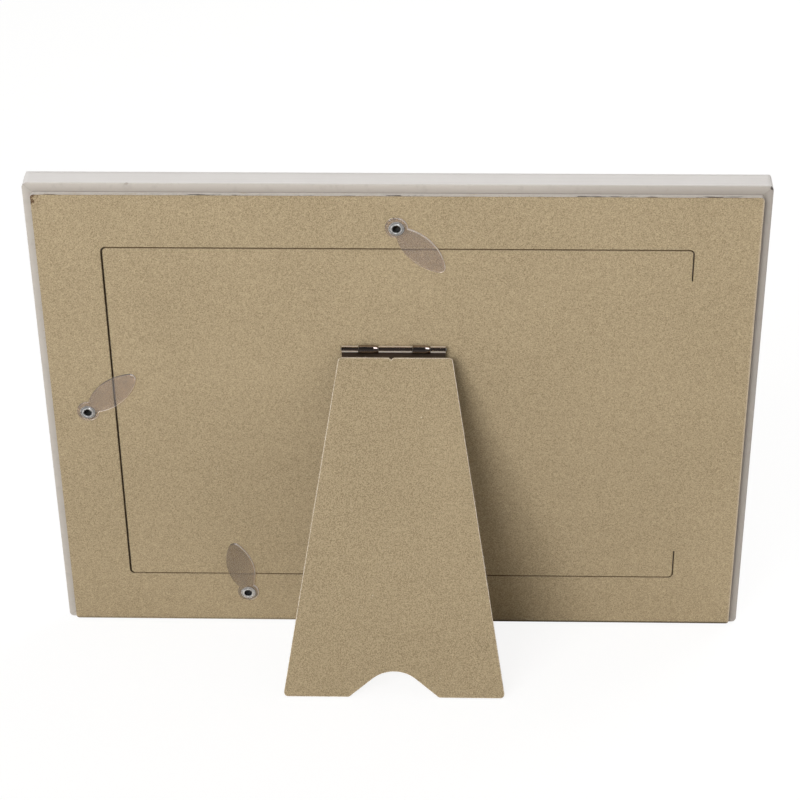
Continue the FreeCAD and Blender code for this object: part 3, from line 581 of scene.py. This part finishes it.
def strew(cover, flat, name, body, finish, limit, count, longest, seed):
    """Joined copies of one fibre, rooted at random places of a cover's rims."""
    chance = random.Random(seed)
    mesh = cover.data
    rims = [face for face in mesh.polygons
            if abs(face.normal.dot(flat)) < limit and face.normal.z > FOOT_SKIP]
    areas = [face.area for face in rims]
    fibre = one_fibre()
    copies = []
    while len(copies) < count:
        face = chance.choices(rims, weights=areas)[0]
        corners = [mesh.vertices[index].co for index in face.vertices]
        shares = [chance.random() for _ in corners]
        root = sum((corner * share for corner, share in zip(corners, shares)),
                   Vector()) / sum(shares)
        if min((root - pivot).length for pivot in PIVOTS) < LEAF_REACH:
            continue
        along = face.normal.cross(flat)
        way = face.normal + along * chance.uniform(-0.9, 0.9) + flat * chance.uniform(0, 0.35)
        turn = way.to_track_quat("X", "Z").to_matrix().to_4x4()
        roll = Matrix.Rotation(chance.uniform(0, math.tau), 4, "X")
        size = Matrix.Scale(chance.uniform(SHORTEST, longest), 4)
        copy = fibre.copy()
        copy.data = fibre.data.copy()
        copy.data.transform(Matrix.Translation(root) @ turn @ roll @ size)
        bpy.context.scene.collection.objects.link(copy)
        copies.append(copy)
    bpy.data.objects.remove(fibre)
    select_only(*copies)
    bpy.ops.object.join()
    fringe = bpy.context.object
    finish_piece(fringe, name, Matrix.Identity(4), body)
    finish.onto(fringe)
    return fringe


back_fringe = strew(back_cover, outward, "back_fringe", "frame", back_velour_finish,
                    **BACK_FRINGE)
leg_fringe = strew(leg_cover, LEG_OUT, "leg_fringe", "leg", cut_edge, **LEG_FRINGE)

# %% [markdown]
# ### Velour glued to board
#
# Both covers are flat sheets glued to board, so each was cut to the very size that it shows. The
# leg's velour tapers and has an arch cut out.

# %% [markdown]
# ## Painted rails
#
# The moulding is wood under a satin off-white paint. The paint shows faint grain along each
# rail, and is rubbed and smudged along the arrises. Its rear rim is painted darker and a little
# yellower, darkest next to the board: a little yellowing, mostly painted shade. That rim is also
# painted darker towards -X and all along the left rail: painted shade. Where two rails meet there
# is a hairline across the corner: the mitre. It could be a groove in the mesh, but the rails' shape
# stays as it was loaded, so it is a thin dark band where a point is as far from one outer edge as
# from the other.

# %% The rails' finish
KNOCKED_CORNER = (-113.1, -0.1, 171.8)
MITRE_BAND = (0.03, 0.14)
REAR_BAND = (-0.45, -0.02)
SHADE_SPAN = (-110.0, -20.0)
UNDER_BOARD = (4.0, 4.4)
CLEAN_PAINT = ((0.745, 0.722, 0.706), (0.770, 0.748, 0.732))
YELLOWED_AND_SHADED_PAINT = ((0.485, 0.446, 0.403), (0.390, 0.352, 0.314))
SHADED_PAINT = (0.300, 0.268, 0.238)
PAINT_GRAIN = (0.45, 0.41, 0.36)
SMUDGE = (0.30, 0.27, 0.24)
PAINT_CHIP = (0.25, 0.21, 0.17)
MITRE_LINE = (0.20, 0.17, 0.14)
KNOCK_DARK = (0.050, 0.042, 0.038)
RAW_WOOD_AND_BORE_SHADE = (0.060, 0.040, 0.024)


def paint_finish(name, along, shade):
    finish = Finish(name, Roughness=0.42, Specular_IOR_Level=0.4)
    across = {"X": (0.02, 1, 1), "Z": (1, 1, 0.02)}[along]
    where = finish.place(BACK)
    grain = finish.noise(finish.place(BACK, across), 1.3, 3.0, 0.6)
    cloudy = finish.noise(where, 0.09, 3.0, 0.55)
    x = finish.axis(where, "X")
    y = finish.axis(where, "Y")
    z = finish.axis(where, "Z")
    from_side = OUTER_WIDTH / 2 / MM - x.math("ABSOLUTE")
    from_end = z.math("MINIMUM", OUTER_HEIGHT / MM - z)
    inward = from_side.math("MINIMUM", from_end)
    mitre = (from_side - from_end).math("ABSOLUTE").ramp(*MITRE_BAND, 1.0, 0.0)
    rear = y.ramp(*REAR_BAND)
    smudges = finish.noise(finish.place(BACK, (0.6, 1, 0.6)), 0.5, 4.0, 0.65)
    clean = finish.mix(cloudy.ramp(0.3, 0.7), *CLEAN_PAINT)
    # The rear rim is painted darker and a little yellower, darkest next to the board: mostly
    # painted shade.
    yellowed_and_shaded = finish.mix(inward.ramp(0.2, 3.0), *YELLOWED_AND_SHADED_PAINT)
    # Painted shade: the rear rim darkens towards -X and all along the left rail.
    shaded = x.ramp(*SHADE_SPAN, 0.35, 0.0).math("MAXIMUM", shade)
    yellowed_and_shaded = finish.mix(shaded, yellowed_and_shaded, SHADED_PAINT)
    colour = finish.mix(rear, clean, yellowed_and_shaded)
    colour = finish.mix(grain.ramp(0.45, 0.75) * 0.08, colour, PAINT_GRAIN)
    colour = finish.mix(smudges.ramp(0.50, 0.72) * rear * 0.30, colour, SMUDGE)
    chip = smudges.ramp(0.66, 0.70) * y.ramp(-0.7, -0.3) * inward.ramp(0.3, 0.8, 1.0, 0.0)
    colour = finish.mix(chip * 0.45, colour, PAINT_CHIP)
    colour = finish.mix(mitre * 0.30, colour, MITRE_LINE)
    knock = finish.node("ShaderNodeVectorMath", {"operation": "DISTANCE"},
                        {0: where, 1: KNOCKED_CORNER}, "Value")
    colour = finish.mix((knock + cloudy * 0.4).ramp(0.75, 1.0, 0.9, 0.0), colour, KNOCK_DARK)
    # Under the board the rails' back is bare wood, painted near-black so the eyelets' bores look
    # dark: partly the wood's colour, mostly painted shade.
    raw_and_bore_shade = rear * inward.ramp(*UNDER_BOARD)
    finish.feed(Base_Color=finish.mix(raw_and_bore_shade, colour, RAW_WOOD_AND_BORE_SHADE), Roughness=cloudy * 0.15 + 0.36)
    finish.bump(grain * 0.4 + mitre * -1.2 + cloudy * 0.3, 0.05 * MM, 0.5)
    return finish


for node, along, shade in (("bottom_rail", "X", 0.0), ("top_rail", "X", 0.0),
                           ("left_rail", "Z", 0.7), ("right_rail", "Z", 0.0)):
    paint_finish("paint_on_" + node, along, shade).onto(frame["nodes"][node])

# %% [markdown]
# ## Fibreboard edges
#
# Only the cut edges of the boards show. They are pressed wood fibre: pale brown with fine
# streaks in the plane of the board. Along the outside, the rails' paint has smeared over the
# edge here and there, and next to the rail the edge is darker: painted contact shade. In the slit
# they are painted dark brown: painted shade of the gap.

# %% The boards' finish
SLIT_SHADE_DARK = (0.120, 0.070, 0.032)
SLIT_SHADE_LIGHT = (0.220, 0.140, 0.075)
FIBRE_DARK = (0.34, 0.26, 0.16)
FIBRE_LIGHT = (0.54, 0.44, 0.31)
SMEAR = ((0.540, 0.500, 0.460), (0.660, 0.620, 0.580))
JOINT_SHADE = (0.130, 0.110, 0.095)
SCUFF_DARK = (0.060, 0.045, 0.040)
SMEAR_REACH = (105.0, 78.0)
JOINT_SHADE_BAND = (0.15, 0.40)
SCUFF_BAND = (1.1, 1.4)


def board_finish(name, matrix, smeared=False, slit_darkened=False):
    finish = Finish(name, Roughness=0.85, Specular_IOR_Level=0.2)
    layers = finish.noise(finish.place(matrix, (0.3, 6, 0.3)), 1.2, 3.0, 0.6)
    fibre = finish.noise(finish.place(matrix), 3.0, 3.0, 0.65)
    tone = layers * 0.6 + fibre * 0.4
    colour = finish.mix(tone.ramp(0.3, 0.7), FIBRE_DARK, FIBRE_LIGHT)
    # The dark colours for the slit are painted shade of the gap.
    slit_shade = finish.mix(tone.ramp(0.3, 0.7), SLIT_SHADE_DARK, SLIT_SHADE_LIGHT)
    if slit_darkened:
        colour = slit_shade
    if smeared:
        where = finish.place(matrix)
        height = finish.axis(where, "Y")
        streak = finish.noise(finish.place(matrix, (0.12, 1.0, 0.12)), 1.0, 4.0, 0.62)
        painted = finish.mix(tone.ramp(0.35, 0.65), *SMEAR)
        colour = finish.mix(streak.ramp(0.25, 0.4), colour, painted)
        # Next to the rail the edge is darker: painted contact shade.
        joint = height.ramp(*JOINT_SHADE_BAND, 1.0, 0.0)
        colour = finish.mix(joint * 0.65, colour, JOINT_SHADE)
        scuff = height.ramp(*SCUFF_BAND) * streak.ramp(0.54, 0.58)
        colour = finish.mix(scuff * 0.85, colour, SCUFF_DARK)
        past_side = finish.axis(where, "X").math("ABSOLUTE") - SMEAR_REACH[0]
        past_end = (finish.axis(where, "Z") - DOOR_MIDDLE).math("ABSOLUTE") - SMEAR_REACH[1]
        colour = finish.mix(past_side.math("MAXIMUM", past_end).ramp(-1, 1), slit_shade, colour)
    finish.feed(Base_Color=colour)
    finish.bump(tone, 0.12 * MM, 0.6)
    return finish


board_finish("surround_board", BACK, smeared=True).onto(frame["nodes"]["surround_board"])
# The door board shows only in the slit, so all of it takes the painted shade.
board_finish("door_board", BACK, slit_darkened=True).onto(frame["nodes"]["door_board"])
board_finish("leg_board", LEG).onto(frame["nodes"]["leg_board"])

# %% [markdown]
# ## Plated steel
#
# The eyelets and the hinge are thin steel with bright nickel plating. Metal has no colour of its
# own beyond a slight warmth: what makes it look like metal is what it mirrors. A little
# unevenness in its roughness, and very fine scratches along the way it was drawn, keep it from
# looking like chrome. The flats of the hinge, between leg and door, are painted dark brown: painted
# shade. The leg's three knuckles stand a little lower than the door's two, and carry a pale line
# above and below: a painted highlight.

# %% Nickel
def nickel_finish(name, matrix, colour, rough, dark=0.0, wear=None):
    finish = Finish(name, Metallic=1.0, Base_Color=colour)
    where = finish.place(matrix)
    drawn = finish.noise(finish.place(matrix, (0.15, 3, 3)), 6.0, 2.0, 0.6)
    cloudy = finish.noise(where, 0.6, 3.0, 0.6)
    tone = finish.mix(cloudy.ramp(0.5, 0.8) * dark, colour, [value * 0.45 for value in colour])
    shine = cloudy * 0.12 + drawn * 0.06 + rough
    if wear:
        tone, shine = wear(finish, tone, shine)
    finish.feed(Base_Color=tone, Roughness=shine)
    finish.bump(drawn, 0.01 * MM, 0.35)
    return finish


# %% [markdown]
# ### Painted shade and highlights on the hinge
#
# The painted shade and highlights follow the barrel. How far a point lies from the pin tells a flat
# from a knuckle. The two painted highlight lines lie on either side of a plane through the pin,
# whose slant was read off the photograph. They are part of the barrel, and stay where they are
# when it is seen from elsewhere.

# %% The hinge's painted shade and highlights
HIGHLIGHT_SLANT = math.radians(18.6)
HIGHLIGHT_BAND = (0.58, 0.78)
BARREL_HIGHLIGHT = (0.90, 0.82, 0.74)
FLAT_SHADE = (0.130, 0.085, 0.055)
DOOR_KNUCKLE = 1.3
LEG_KNUCKLE = 0.98


def shaded_flats_and_highlights(finish, tone, shine, radius=DOOR_KNUCKLE, lines=0.0):
    """Painted shade on the flats, and painted highlight lines above and below the barrel."""
    where = finish.place(None)
    forth = finish.axis(where, "Y") - hinge_axis.y / MM
    rise = finish.axis(where, "Z") - hinge_axis.z / MM
    edge = rise * math.cos(HIGHLIGHT_SLANT) - forth * math.sin(HIGHLIGHT_SLANT)
    # Pale lines on the knuckles: painted highlight.
    wear_and_highlight = (edge * (1 / radius)).math("ABSOLUTE").ramp(*HIGHLIGHT_BAND) * lines
    tone = finish.mix(wear_and_highlight, tone, BARREL_HIGHLIGHT)
    flat = ((forth ** 2.0 + rise ** 2.0) ** 0.5).ramp(radius + 0.05, radius + 0.35)
    # Dark brown on the flats: painted shade.
    tone = finish.mix(flat * 0.9, tone, FLAT_SHADE)
    finish.feed(Metallic=wear_and_highlight * flat.ramp(0, 1, 1, 0) * -0.6 + 1.0)
    return tone, shine + flat * 0.30 + wear_and_highlight * 0.15


def highlighted_knuckles(finish, tone, shine):
    return shaded_flats_and_highlights(finish, tone, shine, LEG_KNUCKLE, 1.0)


# %% [markdown]
# ### Painted rings on the eyelets
#
# Each eyelet gets painted rings: a painted highlight on its rolled bead, and painted shade in the
# groove round it, on its outer rim and down its bore.
# Each ring is a band of distances from the nearest of the three axes, so one finish serves all
# three eyelets.

# %% The eyelets' painted rings
BUTTONS = ("top", "side", "bottom")
BEAD_HIGHLIGHT = (0.96, 0.96, 0.95)
GROOVE_SHADE = (0.14, 0.13, 0.13)
RIM_SHADE = (0.20, 0.18, 0.17)
BORE_SHADE = (0.02, 0.02, 0.02)
BORE_EDGE = (1.27, 1.34)
GROOVE_INNER = (1.82, 1.90)
BEAD_EDGE = (1.85, 1.95)
GROOVE_OUTER = (1.98, 2.06)
RIM_EDGE = (2.30, 2.40)


def painted_eyelet_rings(finish, tone, shine):
    """Painted highlight on the bead; painted shade in the groove, on the rim and in the bore."""
    where = finish.place(BACK)
    x = finish.axis(where, "X")
    z = finish.axis(where, "Z")
    nearest = None
    for place in BUTTONS:
        middle = BACK.inverted() @ Vector(joints["turn_" + place]["pos_m"]) / MM
        away = ((x - middle.x) ** 2.0 + (z - middle.z) ** 2.0) ** 0.5
        nearest = away if nearest is None else nearest.math("MINIMUM", away)
    tone = finish.mix(nearest.ramp(*BEAD_EDGE), BEAD_HIGHLIGHT, tone)
    groove_shade = nearest.ramp(*GROOVE_INNER) * nearest.ramp(*GROOVE_OUTER, 1.0, 0.0)
    tone = finish.mix(groove_shade * 0.8, tone, GROOVE_SHADE)
    tone = finish.mix(nearest.ramp(*RIM_EDGE) * 0.5, tone, RIM_SHADE)
    tone = finish.mix(nearest.ramp(*BORE_EDGE, 1.0, 0.0), tone, BORE_SHADE)
    finish.feed(Metallic=0.72)
    return tone, shine


# %% [markdown]
# ### Four metals
#
# The same helper makes them all. The eyelets are the brightest, the two hinge plates are darker
# and browner, and the pin, nails and rivets are plain steel, duller and patchier.

# %% Make the four metals
EYELET_METAL = (0.76, 0.75, 0.74)
DOOR_PLATE_METAL = (0.42, 0.36, 0.34)
LEG_PLATE_METAL = (0.44, 0.36, 0.31)
PLAIN_METAL = (0.42, 0.41, 0.40)

eyelet_nickel = nickel_finish("eyelet_nickel", BACK, EYELET_METAL, rough=0.18, dark=0.3,
                              wear=painted_eyelet_rings)
hinge_nickel = nickel_finish("hinge_nickel", BACK, DOOR_PLATE_METAL, rough=0.04, dark=0.4,
                             wear=shaded_flats_and_highlights)
leg_hinge_nickel = nickel_finish("leg_hinge_nickel", LEG, LEG_PLATE_METAL, rough=0.08, dark=0.3,
                                 wear=highlighted_knuckles)
plain_steel = nickel_finish("plain_steel", BACK, PLAIN_METAL, rough=0.28, dark=0.6)
plain_steel.onto(*(frame["nodes"][node] for node in
                   ("hinge_pin", "corner_nails", "door_plate_rivets", "leg_plate_rivets")))

# %% [markdown]
# ## Rolled eyelets
#
# An eyelet starts as a short tube with a flared rim. A tool pushes it through the board and
# curls the far end over. The side that shows is the factory rim: a smooth half-round roll that
# dives into the bore. It could be a tube with bevelled ends, but a bevel is one plain round and
# this rim has a flange, a groove and a bead. So its profile is drawn point by point, as radii and
# heights in millimetres, and spun about the eyelet's axis.

# %% Draw one eyelet's profile and spin it
RIM_FRONT = LEAF_REAR + LEAF_PLAY
SPIN_STEPS = 64
RIM_SHAPE = [(2.43, 0.00), (2.41, 0.12), (2.33, 0.20), (2.20, 0.23), (2.02, 0.21),
             (1.90, 0.20), (1.82, 0.26), (1.74, 0.38), (1.63, 0.47), (1.52, 0.50),
             (1.42, 0.47), (1.34, 0.38), (1.29, 0.24), (1.28, 0.05)]
TAIL_SHAPE = [(1.30, 0.50), (1.40, 0.18), (1.63, 0.03), (2.05, 0.03), (2.35, 0.16),
              (2.38, 0.45), (1.70, 0.50)]
SHANK = 1.70


def one_vertex(name, place):
    """A single vertex to draw from: a small plane merged into its middle."""
    bpy.ops.object.select_all(action="DESELECT")
    bpy.ops.mesh.primitive_plane_add(size=MM, location=(0, 0, 0))
    piece = bpy.context.object
    piece.name = name
    bpy.ops.object.mode_set(mode="EDIT")
    bpy.ops.mesh.select_all(action="SELECT")
    bpy.ops.mesh.merge(type="CENTER")
    bpy.ops.transform.translate(value=place)
    return piece


def draw_line(places):
    """Extrudes the selected vertex from place to place, as when a profile is drawn by hand."""
    for before, after in zip(places, places[1:]):
        bpy.ops.mesh.extrude_region_move(
            TRANSFORM_OT_translate={"value": Vector(after) - Vector(before)})


def eyelet_profile():
    """One wall's section: over rim, groove and bead, down the bore and up round the tail."""
    rim = [(radius * MM, RIM_FRONT + height * MM, 0) for radius, height in RIM_SHAPE]
    tail = [(radius * MM, height * MM, 0) for radius, height in TAIL_SHAPE]
    return rim + tail + [(SHANK * MM, RIM_FRONT, 0), rim[0]]


def spun_eyelet():
    profile = eyelet_profile()
    piece = one_vertex("eyelet", profile[0])
    draw_line(profile)
    bpy.ops.mesh.select_all(action="SELECT")
    bpy.ops.mesh.spin(steps=SPIN_STEPS, angle=math.tau, center=(0, 0, 0), axis=(0, 1, 0))
    bpy.ops.mesh.select_all(action="SELECT")
    bpy.ops.mesh.remove_doubles(threshold=0.002 * MM)
    bpy.ops.mesh.normals_make_consistent(inside=False)
    done()
    return piece


first_eyelet = spun_eyelet()
print("one eyelet has", len(first_eyelet.data.polygons), "faces")

# %% [markdown]
# The three eyelets are alike. Each stands on the axis of its own turn button, with its foot on
# the board, and is a mesh of its own.

# %% Copy it to its three places
def pivot_place(place):
    """A matrix that takes a straight piece to a turn button's axis, its foot on the board."""
    axis_point = BACK.inverted() @ Vector(joints["turn_" + place]["pos_m"])
    return BACK @ Matrix.Translation((axis_point.x, 0, axis_point.z))


for place in BUTTONS:
    copy = first_eyelet.copy()
    copy.data = first_eyelet.data.copy()
    bpy.context.scene.collection.objects.link(copy)
    finish_piece(copy, "rolled_eyelet_" + place, pivot_place(place), "frame",
                 ["eyelet_" + place], smooth=50)
    eyelet_nickel.onto(copy)
bpy.data.objects.remove(first_eyelet)

# %% [markdown]
# ## Turn buttons
#
# The leaves are moulded in clear plastic with a faint pink cast, and the lowest is painted darker:
# painted shade. The velour shows through them, a little blurred by fine scratches. Alpha would fade
# the highlights along with the plastic, so they are see-through by the shader's Transmission, with
# some Roughness. Their rims on the side away from the light get a paler, cloudier finish: a painted
# highlight of the light that leaves the plastic there.

# %% The plastic's three finishes
PINK_CAST = (0.763, 0.722, 0.696)
SHADED_CAST = (0.600, 0.560, 0.500)
RIM_GLOW_COLOUR = (0.95, 0.87, 0.83)
LEAF_SHADOW = (0.76, 0.71, 0.68)
FROST_SHADOW = (0.60, 0.55, 0.52)
PLASTIC_IOR = 1.49


def let_light_through(finish, colour):
    """Clear things hardly cast a shadow: a shadow ray passes them, only slightly dimmed."""
    clear = finish.node("ShaderNodeBsdfTransparent", {}, {"Color": colour})
    finish.show(finish.blend(finish.ray("Is Shadow Ray"), finish.own, clear))


def leaf_plastic(name, colour):
    finish = Finish(name, Base_Color=colour, IOR=PLASTIC_IOR, Transmission_Weight=0.93)
    place = finish.place(BACK)
    haze = finish.noise(place, 0.5, 3.0, 0.6)
    finish.feed(Roughness=haze * 0.10 + 0.08)
    finish.bump(finish.noise(place, 0.25, 2.0, 0.5), 0.02 * MM, 0.4)
    let_light_through(finish, LEAF_SHADOW)
    return finish


clear_plastic = leaf_plastic("clear_plastic", PINK_CAST)
shaded_plastic = leaf_plastic("shaded_plastic", SHADED_CAST)

# The rims on the side away from the light get a paler, cloudier finish: painted highlight.
frosted_glowing_rim = Finish("frosted_glowing_rim", Base_Color=RIM_GLOW_COLOUR, IOR=PLASTIC_IOR,
                      Transmission_Weight=0.45)
frost = frosted_glowing_rim.noise(frosted_glowing_rim.place(BACK), 3.0, 3.0, 0.6)
frosted_glowing_rim.feed(Roughness=frost * 0.2 + 0.35)
frosted_glowing_rim.bump(frost, 0.02 * MM, 0.5)
let_light_through(frosted_glowing_rim, FROST_SHADOW)
print("made", ", ".join(plastic.material.name for plastic in
                        (clear_plastic, shaded_plastic, frosted_glowing_rim)))

# %% [markdown]
# ### Shaping the leaves
#
# The leaf that was loaded has the right outline and knife-sharp rims, and a moulded edge is never
# sharp. It is copied, so that the loaded one stays as it is, and a bevel on every sharp edge
# gives the moulded roundness. Light that enters the plastic on the lit side leaves it at the far
# rim, so the rims on that side get a paler finish that glows a little: a painted highlight.

# %% Copy the leaves and round them
LEAF_ROUND = 0.30 * MM
LEAF_RIM_LIMIT = 0.95
FAR_SIDE = Vector((-1, 0, 0))


def moulded_leaf(place):
    leaf = copy_of_node("turn_button_" + place)
    soften(leaf, LEAF_ROUND, 3, 50)
    finish_piece(leaf, "moulded_leaf_" + place, Matrix.Identity(4), "button_" + place,
                 ["turn_button_" + place], smooth=40)
    # The lowest leaf is painted darker: painted shade.
    plastic = shaded_plastic if place == "bottom" else clear_plastic
    plastic.onto(leaf)
    give_rims(leaf, frosted_glowing_rim, outward, LEAF_RIM_LIMIT, FAR_SIDE)


for place in BUTTONS:
    moulded_leaf(place)

# %% [markdown]
# ## The hinge
#
# Two thin plates are rolled round one pin: the door's plate at two knuckles, the leg's at three
# slimmer ones. A sheared and rolled edge is slightly round, and those round ends are what glints
# on a bright hinge. A plate could be rolled anew from a strip, but it has to fit the pin, which
# the loaded ones do. So both are copied and every sharp edge gets a fine bevel. The little stop
# lip behind the middle knuckle is pushed back a touch, as a worn one is.

# %% Copy the hinge's two plates and round their edges
SHEET_ROUND = 0.12 * MM
LIP_REACH = 1.12 * MM
LIP_PUSH = 0.35 * MM


def push_lip_back(plate):
    """Moves the corners of the lip, which lie outside the middle knuckle, towards the pin."""
    edit(plate)

    def is_lip(place, _):
        away = Vector((0, place.y - hinge_axis.y, place.z - hinge_axis.z))
        return away.length > LIP_REACH and away.z > 0

    count = pick(plate, "VERT", is_lip)
    turned = Matrix.Rotation(LEG_OPENING - LEAN, 3, "X")
    bpy.ops.transform.translate(value=turned @ Vector((0, 0.2 * LIP_PUSH, -LIP_PUSH)))
    done()
    print("lip corners moved", count)


def rolled_plate(node, name, body, finish):
    plate = copy_of_node(node)
    if node == "hinge_leg_plate":
        push_lip_back(plate)
    soften(plate, SHEET_ROUND, 2, 35)
    finish_piece(plate, name, Matrix.Identity(4), body, [node], smooth=50)
    finish.onto(plate)


rolled_plate("hinge_door_plate", "rolled_door_plate", "frame", hinge_nickel)
rolled_plate("hinge_leg_plate", "rolled_leg_plate", "leg", leg_hinge_nickel)

# %% [markdown]
# ## The pane
#
# From the front the frame shows its glass over a print. A cut pane has its sharp edges rubbed off
# with a stone, and a film of air is left between it and the paper: where two faces lie in one
# place, a ray can't tell which comes first, and the picture gets patches. So the pane is a copy
# with its back face a hair forward.

# %% Copy the pane and rub its edges
AIR_FILM = 0.06 * MM
SEAMED_EDGE = 0.25 * MM
GLASS_CAST = (0.97, 0.99, 0.98)
GLASS_SHADOW = (0.90, 0.93, 0.92)

glass = Finish("pane_glass", Base_Color=GLASS_CAST, Transmission_Weight=1.0, IOR=1.5)
smear = glass.noise(glass.place(BACK), 0.03, 2.0, 0.5)
glass.feed(Roughness=smear.ramp(0.5, 0.8) * 0.03)
let_light_through(glass, GLASS_SHADOW)

pane = copy_of_node("glass")
edit(pane)
pick(pane, "FACE", lambda _, normal: normal.dot(outward) > 0.9)
bpy.ops.transform.translate(value=-AIR_FILM * outward)
done()
soften(pane, SEAMED_EDGE, 1)
finish_piece(pane, "seamed_pane", Matrix.Identity(4), "frame", ["glass"])
glass.onto(pane)

# %% [markdown]
# ## The print and the card
#
# The print is a bare sheet of warm white photo paper with a thin keyline, so that the frame shows
# where a picture would go. The card that presses it to the pane is grey board with darker flecks.

# %% Paper and card
PRINT_BORDER = 12.0
PRINT_HALF = (89.0, 63.5)
KEYLINE = (0.45, 0.42, 0.38)
PAPER = ((0.76, 0.74, 0.69), (0.80, 0.78, 0.73))
GREY_BOARD = ((0.28, 0.25, 0.21), (0.40, 0.37, 0.32))

paper = Finish("photo_paper", Roughness=0.35, Specular_IOR_Level=0.45)
paper_place = paper.place(BACK)
tooth = paper.noise(paper_place, 2.0, 3.0, 0.6)
border_x = paper.axis(paper_place, "X").math("ABSOLUTE")
border_z = (paper.axis(paper_place, "Z") - OUTER_HEIGHT / 2 / MM).math("ABSOLUTE")
from_print_edge = (PRINT_HALF[0] - border_x).math("MINIMUM", PRINT_HALF[1] - border_z)
keyline = (from_print_edge - PRINT_BORDER).math("ABSOLUTE").ramp(0.25, 0.45, 1.0, 0.0)
sheet_colour = paper.mix(tooth.ramp(0.3, 0.7), *PAPER)
paper.feed(Base_Color=paper.mix(keyline * 0.6, sheet_colour, KEYLINE))
paper.bump(tooth, 0.02 * MM, 0.4)
paper.onto(frame["nodes"]["plain_print"])

card = Finish("grey_card", Roughness=0.9, Specular_IOR_Level=0.2)
flecks = card.noise(card.place(BACK, (1, 1, 0.4)), 1.2, 4.0, 0.7)
card.feed(Base_Color=card.mix(flecks.ramp(0.3, 0.7), *GREY_BOARD))
card.bump(flecks, 0.08 * MM, 0.5)
card.onto(frame["nodes"]["filler_card"])

# %% [markdown]
# ## A white floor
#
# The floor glows a little towards the camera, so that it turns white and yet keeps a trace of the
# object's shadow. More light would whiten it too, but would bleach the object as well. What a
# mirror sees of the floor in front of the object is darker: there the lit floor ends.

# %% The floor
FLOOR_GLOW = 1.10
FLOOR_SHARE = 0.80
FLOOR_DIM_FROM = -0.03
FLOOR_DIM_TO = 0.03
FLOOR_SIZE = 12.0
FLOOR_DROP = 0.05 * MM
FLOOR_WHITE = (0.92, 0.92, 0.92)
ROOM_GREY = (0.10, 0.095, 0.09)

bpy.ops.object.select_all(action="DESELECT")
bpy.ops.mesh.primitive_plane_add(size=FLOOR_SIZE, location=(0, 0, -FLOOR_DROP))
floor = bpy.context.object
floor.name = "studio_floor"
white = Finish("studio_white", Base_Color=FLOOR_WHITE, Roughness=0.9, Specular_IOR_Level=0.0)
glow = white.node("ShaderNodeEmission", {}, {"Color": (1, 1, 1), "Strength": FLOOR_GLOW})
dim = white.node("ShaderNodeEmission", {}, {"Color": ROOM_GREY})
straight = white.ray("Is Camera Ray").math("MAXIMUM", white.ray("Is Transmission Ray"))
lifted = white.blend(straight * FLOOR_SHARE, white.own, glow)
near = white.axis(white.node("ShaderNodeTexCoord", {}, {}, "Object"), "Y").ramp(
    FLOOR_DIM_FROM, FLOOR_DIM_TO)
white.show(white.blend(white.ray("Is Glossy Ray") * near, lifted, dim))
white.onto(floor)

# %% [markdown]
# ## A white surround with a dark side
#
# The camera sees a white backdrop. The surround fills the shadows with even light. The side that
# the back faces is darker, as a room is, and only mirrors see that: without it the hinge and the
# eyelets would look like white plastic. Black cards on stands would do the same, but they would
# get in the way of the other views.

# %% The world
WORLD_FILL = 0.37
ROOM_LIGHT = 0.95
ROOM_DARK = 0.035
FILL_WARMTH = (1.0, 0.960, 0.900)
ROOM_WARMTH = (1.0, 0.97, 0.95)
DARK_SIDE = (math.cos(math.radians(58)), math.cos(math.radians(78)))

studio = bpy.data.worlds.new("studio")
studio.use_nodes = True
bpy.context.scene.world = studio
world = Sheet(studio.node_tree, "World Output")
heading = world.node("ShaderNodeTexCoord", {}, {}, "Generated")
facing = world.node("ShaderNodeVectorMath", {"operation": "DOT_PRODUCT"},
                    {0: heading, 1: -forward}, "Value")
fill = world.node("ShaderNodeBackground", {}, {"Color": FILL_WARMTH, "Strength": WORLD_FILL})
dimmed = facing.ramp(DARK_SIDE[1], DARK_SIDE[0], ROOM_LIGHT, ROOM_DARK)
room = world.node("ShaderNodeBackground", {}, {"Color": ROOM_WARMTH, "Strength": dimmed})
backdrop = world.node("ShaderNodeBackground", {}, {"Color": (1, 1, 1)})
straight = world.ray("Is Camera Ray").math("MAXIMUM", world.ray("Is Transmission Ray"))
world.show(world.blend(straight, world.blend(world.ray("Is Glossy Ray"), fill, room), backdrop))
print("the world", studio.name, "fills shadows at", WORLD_FILL)

# %% [markdown]
# ## Lamps
#
# The lamps do what the photograph's did. A large one high on the left of the picture throws the
# leg's soft shadow to the right: a small one or a sun would draw it with a hard edge. A long
# strip above is there for the metal alone: it is the bright line along the hinge's barrel. A weak
# one lights the front, for the views from that side.

# %% The lamps
def lamp(name, place, aim, size, power, colour=(1, 1, 1)):
    data = bpy.data.lights.new(name, "AREA")
    data.size = size
    data.energy = power
    data.color = colour
    light = bpy.data.objects.new(name, data)
    bpy.context.scene.collection.objects.link(light)
    light.location = place
    light.rotation_mode = "QUATERNION"
    light.rotation_quaternion = (Vector(aim) - Vector(place)).to_track_quat("-Z", "Y")
    return light


key = lamp("key_lamp", place=(0.72, 1.98, 0.76), aim=(0, 0, 0.08), size=1.05, power=41.0,
           colour=(0.97, 0.985, 1.0))
key.visible_glossy = False
strip = lamp("strip_lamp", place=(-0.52, 0.90, 1.15), aim=(0, 0, 0.10), size=0.40, power=5.0)
strip.data.shape = "RECTANGLE"
strip.data.size_y = 1.1
strip.visible_diffuse = False
front = lamp("front_lamp", place=(-0.9, -1.2, 1.3), aim=(0, 0, 0.08), size=1.0, power=10.0)
front.visible_glossy = False

bpy.context.scene.view_settings.view_transform = "Standard"
print("lamps", key.name, strip.name, front.name)
